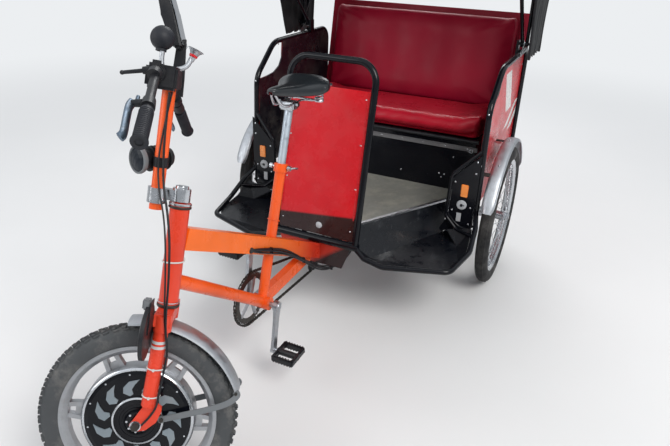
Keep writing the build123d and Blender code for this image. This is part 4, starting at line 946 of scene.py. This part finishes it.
def padded_piece(name, node, look, section, half, held, cap, shape):
    """A section of (x, z) carried across the cab, a little smaller at its ends, inflated and shaped."""
    middle = sum(map(Vector, section), Vector((0, 0))) / len(section)
    block = []
    for share in (-1, -0.97, -0.9, -0.8, -0.6, -0.3, 0, 0.3, 0.6, 0.8, 0.9, 0.97, 1):
        points = [middle + (Vector(point) - middle) * (0.9 if abs(share) == 1 else 1) for point in section]
        block.append([vec(point.x, share * half, point.y) for point in points])
    work = Build(name, None, look, "seat_vinyl", place=body_place, sharp=180)
    work.skin(block, ends=True)
    piece = work.finish()
    voxels = piece.modifiers.new("voxels", "REMESH")
    voxels.mode = "VOXEL"
    voxels.voxel_size = 0.011
    applied(piece)
    piece.modifiers.new("relax", "SMOOTH").iterations = 6
    applied(piece)
    inflate(piece, held, cap)
    piece.modifiers.new("fine", "SUBSURF").levels = 1
    applied(piece)
    for vert in piece.data.vertices:
        shape(vert.co)
    piece.data.polygons.foreach_set("use_smooth", [True] * len(piece.data.polygons))
    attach(piece, "root")
    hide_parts(node)


seat_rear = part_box("seat_cushion")[0].x * 1000 + SHIFT
seat_section = [(seat_rear + 4, 658), (-30, 657), (-8, 662), (18, 672), (31, 692), (30, 712), (16, 727), (-12, 733),
                (-60, 729), (-200, 722), (seat_rear + 20, 724), (seat_rear + 5, 716)]


def seat_held(point):
    return limited(1 - (point.z * 1000 - 656) / 9)


def seat_shape(point):
    """Turned up at both ends, dipped in the middle and puckered along the front."""
    y = abs(point.y * 1000)
    over = limited((point.z * 1000 - 660) / 40)
    front = limited((point.x * 1000 + SHIFT + 120) / 120)
    turned_up = max(0.0, (y - 352) / 125) ** 1.6 * 52 * over
    pucker = 1.6 * sin(point.y * 78 + 1.5 * sin(point.y * 17)) * front * over
    dip = -5 * over * (1 - min(1.0, y / 420) ** 2) * (1 - front)
    point.z += (turned_up * (0.35 + 0.65 * front) + pucker + dip) / 1000


BACK_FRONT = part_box("back_cushion")[1].x * 1000 + SHIFT
BACK_LOW, BACK_HIGH = 698, 1140
BACK_LEAN = tan(radians(11))
back_section = []
for share, depth in ((0, 16), (0.04, 6), (0.2, 2), (0.5, 4), (0.8, 3), (0.95, 7), (1, 18), (1, 52), (0.95, 64),
                     (0.5, 68), (0.05, 66), (0, 56)):
    z = BACK_LOW + (BACK_HIGH - BACK_LOW) * share
    back_section.append((BACK_FRONT - depth - (z - 695) * BACK_LEAN, z))


def back_depth(point):
    """How far a point lies behind the leaning front face."""
    return BACK_FRONT - (point.z * 1000 - 695) * BACK_LEAN - (point.x * 1000 + SHIFT)


def back_held(point):
    return 1.0 if back_depth(point) > 60 else 0.0


def back_shape(point):
    """Slow waves over the front face, pulled in half way up."""
    if back_depth(point) > 50:
        return
    y = point.y
    share = limited((point.z * 1000 - 700) / 440)
    waves = sin(y * 21 + 0.6) * 3.2 + sin(y * 43 + 2.1 + share) * 1.8 + sin(y * 9.5 - share * 1.4) * 3.0
    pull = share * (1 - share) * 4
    point.x += (waves * (0.35 + 0.65 * pull) - 4.5 * pull) / 1000


padded_piece("seat_bench_cushion", "seat_cushion", "bench_vinyl_painted_light", seat_section, 470, seat_held, 0.014, seat_shape)
padded_piece("seat_back_cover", "back_cushion", "seat_vinyl", back_section, 488, back_held, 0.012, back_shape)

# Hood fabric
BOW_TURNS = (45, 5, -35)
BOW_FEET = ((-140, 1006), (-280, 1001), (-420, 1000))  # x and z of the fabric's lower edge under each bow
HOOD_PIVOT = vec(-270, 0, 1050)
HOOD_REACH = 880 + 10
HOOD_CORNER = 190
HOOD_HALF = 602.5
KNEE = 300  # how far up a bow the fabric leaves its straight line to the foot
ACROSS, ALONG = 120, 48


def bow_way(turn):
    return vec(sin(radians(turn)), 0, cos(radians(turn)))


def arch_point(turn, share, foot):
    """A place on the fabric over one bow; share runs from the left foot (0) over the top to the right foot (1)."""
    way = bow_way(turn)
    straight = HOOD_REACH - HOOD_CORNER
    knee = HOOD_PIVOT + way * KNEE + vec(0, HOOD_HALF)
    low = vec(foot[0], HOOD_HALF, foot[1])
    arc = HOOD_CORNER * pi / 2
    first = (knee - low).length
    side = straight - KNEE
    top_length = 2 * (HOOD_HALF - HOOD_CORNER)
    walk = min(share, 1 - share) * (2 * (first + side + arc) + top_length)
    if walk < first:
        point = low.lerp(knee, walk / first)
    elif walk < first + side:
        point = knee + way * (walk - first)
    elif walk < first + side + arc:
        angle = (walk - first - side) / HOOD_CORNER
        point = HOOD_PIVOT + way * (straight + HOOD_CORNER * sin(angle))
        point.y = HOOD_HALF - HOOD_CORNER + HOOD_CORNER * cos(angle)
    else:
        point = HOOD_PIVOT + way * HOOD_REACH
        point.y = HOOD_HALF - HOOD_CORNER - (walk - first - side - arc)
    point.y *= 1 if share <= 0.5 else -1
    return point


def hood_point(flat, t, v, share):
    """The flat point sagged between two bows and rippled; t runs from one bow to the next, v over both bays."""
    height = (flat.z - 1000) / 900
    inward = vec(HOOD_PIVOT.x, 0, 1150) - flat
    inward.y = inward.y if height > 0.5 else inward.y * 0.15
    hollow = 4 * t * (1 - t)
    sag = hollow * (17 * limited(height * 1.6 - 0.5) + 3)
    low = max(0.0, 1 - height * 1.5)
    ripple = low * 9 * sin(v * 15 + 2.2 * sin(share * 40) + height * 5) * min(1.0, 2.2 * hollow + 0.25)
    ripple += 1.6 * hollow * sin(share * 96 + 3 * sin(v * 5)) * min(1.0, height * 1.3)
    ripple += 1.2 * sin(share * 37 + v * 9)
    return flat + inward.normalized() * (sag + max(-1.5, ripple))


grid, flat_grid = [], []
for row in range(ALONG + 1):
    v = row / ALONG * 2
    bay = min(1, int(v))
    shares = [column / ACROSS for column in range(ACROSS + 1)]
    flat_grid.append([arch_point(BOW_TURNS[bay], share, BOW_FEET[bay]).lerp(
        arch_point(BOW_TURNS[bay + 1], share, BOW_FEET[bay + 1]), v - bay) for share in shares])
    grid.append([hood_point(point, v - bay, v, share) for point, share in zip(flat_grid[-1], shares)])


def longest(lines):
    """The length in metres of the longest of the lines of points."""
    return max(sum((after - point).length for point, after in zip(line, line[1:])) for line in lines) / 1000


hood_size = (round(longest(flat_grid), 3), round(longest(zip(*flat_grid)), 3))
work = Build("hood_cover", None, "hood_fabric", place=body_place, sharp=180)
work.skin(grid, around=False)
piece = work.finish()
thick = piece.modifiers.new("thickness", "SOLIDIFY")
thick.thickness = 0.0016
thick.offset = -1
applied(piece)
work = Build("hood_hems", None, "hood_binding", "hood_fabric", place=body_place)
for row in (0, ALONG):
    work.sweep(grid[row], 5.5, 8)
hems = work.finish()
work = Build("hood_seams", None, "hood_binding", "hood_fabric", place=body_place)
for step in BOTH:
    middle_row, next_row = grid[ALONG // 2], grid[ALONG // 2 + step]
    work.sweep([point.lerp(after, 0.35) for point, after in zip(middle_row, next_row)], 1.3, 6)
seams = work.finish()
for soft in (piece, hems, seams):
    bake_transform(soft)
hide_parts("hood_canopy")

# Floor nosing: a strip along each slanted edge of the floor, with rivets
work = Build("floor_nosing", "root", "alloy", "silver_metal")
length = (655 ** 2 + 388 ** 2) ** 0.5
for side in BOTH:
    first, second = vec(655, side * 70), vec(0, side * 458)
    inner = vec(-388, -655 * side) * (13 / length)
    outward = -inner.normalized() * 1.6
    rise = vec(0, 0, 400.2)
    work.slab([first + rise, second + rise, second + inner + rise, first + inner + rise], (0, 0, 2.4))
    low, high = outward * 0.1 + vec(0, 0, 392), outward * 0.1 + vec(0, 0, 402.6)
    work.slab([first + low, second + low, second + high, first + high], outward)
    for index in range(7):
        work.ball(first.lerp(second, 0.06 + 0.147 * index) + inner * 0.5 + vec(0, 0, 402.4), 3.4, (1, 1, 0.45))
work.box((641, -70, 400.2), (655, 70, 402.6), bevel=0.8)

# Seat box: edge roll, trim strip and screws
work = Build("seat_edge_roll", "root", "black_plastic", "black_paint", "seat_trim")
work.pin((6, 0, 648), -466, 466, 7.5, 24)
work.box((-1.5, -468, 640), (6, 468, 655), bevel=1.5)
work = Build("seat_trim_strip", "root", "grey_trim", "black_paint")
for ahead, low, high, bevel in ((3.2, 599, 621, 1.2), (5.2, 616.5, 620, 1), (5.2, 600, 603.5, 1)):
    work.box((0.2, -465, low), (ahead, 465, high), bevel)
work = Build("seat_box_screws", "root", "chrome", "silver_metal")
for y in range(-420, 421, 105):
    work.ball((3.4, y, 610), 3.6, (0.5, 1, 1))
work.lathe([(5, -1), (9, -1), (10, 1), (9, 3), (5, 3)], 28, move((3.6, 438, 604)) @ ahead_face, closed=True)
for y, z in ((360, 560), (300, 470), (325, 468), (-330, 462), (110, 452), (312, 452), (-140, 470), (-360, 556)):
    work.ball((0.3, y, z), 4, (0.45, 1, 1))

# Wing panels: reflector, round socket, blank plate, screws and edge seal on each
for hand, side in HANDS:
    work = Build("wing_reflector_" + hand, "root", "amber_reflector", "red_panel")
    work.box((290, side * 492 - 15, 500), (296, side * 492 + 15, 556), bevel=2.5)
    work = Build("wing_socket_" + hand, "root", "pale_grey", "silver_metal")
    work.lathe([(0.01, 5), (17, 5), (20, 4), (21.5, 0)], 40, move((290, side * 487, 462)) @ ahead_face)
    work.box((290, side * 480 - 10, 384), (291.5, side * 480 + 10, 424), bevel=0.6)
    work = Build("wing_socket_centre_" + hand, "root", "black_plastic")
    work.tube((294.5, side * 487, 462), (296.2, side * 487, 462), 6.5, 24)
    work.tube((294.5, side * 497, 462), (295.8, side * 497, 462), 2.4, 12)
    work = Build("panel_screws_" + hand, "root", "chrome", "silver_metal")
    for y, z in ((530, 610), (449, 560), (447, 430), (524, 455), (524, 380), (530, 660)):
        work.ball((290.2, side * y, z), 4, (0.45, 1, 1))
    for x, z in ((240, 455), (236, 640), (232, 820), (60, 990), (-120, 992), (-300, 990), (-440, 930), (-455, 700),
                 (-455, 470)):
        work.ball((x, side * 534.2, z), 4.2, (1, 0.4, 1))
    for x, z in ((260, 852), (272, 640), (278, 470)):
        work.ball((x, side * 540, z), 4.5, (0.6, 1, 1))
    work = Build("wing_seal_and_shade_plate_" + hand, "root", "black_paint")
    edge = [(288, 433, 416), (288, 442, 398), (288, 486, 361), (288, 535, 361), (288, 535, 440), (288, 545, 470)]
    work.sweep(smooth_line(sided(side, edge), 5), 5.5, 12)
    # A thin black plate under the wing panel's lower edge fills the gap there: painted shade.
    foot = [(434, 414), (442, 398), (486, 361), (540, 361), (548, 378), (552, 370), (500, 340), (440, 334), (412, 318),
            (400, 330), (424, 380)]
    work.slab([(284, side * y, z) for y, z in foot], (3, 0, 0))

# Grab hoop's panel: edge beads, round cap and screws
way = vec(-141, 0, 690).normalized()
normal = vec(way.z, 0, -way.x)
foot = vec(697, 0, 372)
work = Build("hoop_panel_beads", "root", "red_paint")
for y in (-158, 158):
    work.sweep([foot + way * along + normal * 3.5 + vec(0, y) for along in (106, 300, 596)], 2.2, 8)
work = Build("hoop_panel_cap", "root", "pale_grey", "silver_metal")
cap_place = move(foot + way * 58 + vec(3.2, 14)) @ ahead_face
work.lathe([(0.01, 5), (10, 4.6), (13, 2.5), (14, 0)], 32, cap_place)
work = Build("hoop_panel_screws", "root", "chrome", "silver_metal")
for y in (-150, 150):
    for along in (60, 230, 400, 570):
        work.ball(foot + way * along + normal * 3 + vec(0, y), 4, (0.7, 1, 0.7))

# Hood hinge plates on the rails, with their nuts
plates = Build("hood_hinge_plates", "root", "alloy", "silver_metal")
nuts = Build("hood_pivot_nuts", "root", "chrome", "silver_metal")
slant = turned(24, "Y")
for side in BOTH:
    outline = [slant @ (vec(22 if cos(angle) > 0 else -22) + spoke(angle, 14)) + vec(-232, side * 553.5, 1024)
               for angle in circle(20)]
    plates.slab(outline, (0, side * 4, 0))
    for x in (-22, 22):
        plates.pin(slant @ vec(x) + vec(-232, 0, 1024), side * 557, side * 561, 6, 6)
    nuts.pin((-270, 0, 1050), side * 594, side * 599, 10, 6)
    nuts.pin((-270, 0, 1050), side * 552, side * 557, 9, 20)

# Rear lamps, and the rear fenders, rolled across, with their rivets and three stays to the side panel
half_section = [(27, 349), (26.6, 354), (23, 358.4), (14, 361), (0, 361.9)]
outer = [(-y, r) for y, r in half_section] + half_section[-2::-1]
section = outer + [(y * 0.94, r - 1.8) for y, r in reversed(outer)]
low, high, steps = 23, 157, 56
widths = [0.6, 0.84, 0.96] + [1.0] * (steps - 5) + [0.96, 0.84, 0.6]
lamps = Build("rear_lamps", "root", "red_reflector", "red_panel")
rivets = Build("rear_fender_rivets", "root", "silver_metal")
stays = Build("rear_fender_stays", "root", "dark_steel", "silver_metal")
work = Build("rolled_rear_fenders", "root", "fender_silver", "silver_metal", "rear_fenders")
for side in BOTH:
    centre = vec(0, side * REAR_WHEEL_Y, REAR_WHEEL_Z)
    stations = [(spoke(radians(low + (high - low) * index / steps)), width) for index, width in enumerate(widths)]
    work.skin([[centre + way * r + vec(0, y * width) for y, r in section] for way, width in stations], ends=True)
    for hand in BOTH:
        work.sweep([centre + way * 350 + vec(0, hand * 26.6 * width) for way, width in stations], 1.9, 8)
    for angle in (58, 90, 122):
        rivets.ball(centre + spoke(radians(angle), 362.4), 4.2)
    near, far = sorted((side * 540.5, side * 582))
    for angle in (50, 90, 130):
        stays.box((352, near, -9), (357, far, 9), 1.2, move((0, 0, REAR_WHEEL_Z)) @ turned(-angle, "Y"))
    lamps.box((-497, side * 470 - 26, 352), (-490, side * 470 + 26, 384), bevel=3)

# Quick release of the saddle clamp, with a ring round the seat tube
work = Build("saddle_clamp_collar", "root", "orange_paint")
work.tube(seat_tube(748), seat_tube(774), 23.8, 40)
work = Build("quick_release", "root", "chrome", "silver_metal", "seat_release")
middle = seat_tube(763)
work.pin(middle, -38, 38, 4, 14)
work.pin(middle, -42, -31, 8.5, 24)
work.pin(middle, 28, 38, 10, 24, 8)
lever = smooth_line([(0, 35, 0), (-9, 41, -1), (-20, 44, -4), (-30, 45, -8)])
work.sweep([middle + point for point in lever], 6.5, 12, flat=0.5)

# Weld bead where the seat tube meets the beam
beam_slope = tan(radians(28.1))
beam_top = 741 - (1490 - CRANK_X) * beam_slope + 33
bead_way = vec(-beam_slope, 0, 1).normalized()
bead_ahead = bead_way.cross(vec(0, 1))
bead_middle = seat_tube(beam_top + 22)
bead = []
for index, angle in enumerate(circle(36)):
    wobble = 19 * (1 + 0.02 * sin(index * 5.0))
    bead.append(bead_middle + vec(0, cos(angle) * wobble) + bead_ahead * (1.12 * sin(angle) * wobble))
work = Build("frame_welds", "root", "orange_paint")
work.sweep(bead, 2.4, 6, closed=True)

for work in builds:
    if work.piece is None:
        work.finish()

# Ground: far from the vehicle, where the lamps fade, it turns to the backdrop's plain white for the camera
mesh = bpy.data.meshes.new("ground")
mesh.from_pydata([(-30, -30, 0), (30, -30, 0), (30, 30, 0), (-30, 30, 0)], [], [(0, 1, 2, 3)])
piece = bpy.data.objects.new("ground", mesh)
scene.collection.objects.link(piece)
shade = Shade("ground", 0.9, specular=0.2)
shade.feed("Base Color", shade.mix(shade.noise(1.3, 4), (0.74, 0.745, 0.75), (0.78, 0.785, 0.79)))
distance = shade.add("VectorMath", {0: shade.coords}, operation="LENGTH").outputs["Value"]
faded = shade.add("MapRange", {"Value": distance, "From Min": 1.6, "From Max": 6.5}, interpolation_type="SMOOTHSTEP")
share = shade.add("Math", {0: faded, 1: shade.add("LightPath").outputs["Is Camera Ray"]}, operation="MULTIPLY")
glow = shade.add("Emission", {"Color": (0.84, 0.86, 0.88)})
blend = shade.add("MixShader", {0: share, 1: shade.shader, 2: glow})
shade.tree.links.new(blend.outputs[0], shade.tree.nodes["Material Output"].inputs["Surface"])
mesh.materials.append(shade.material)
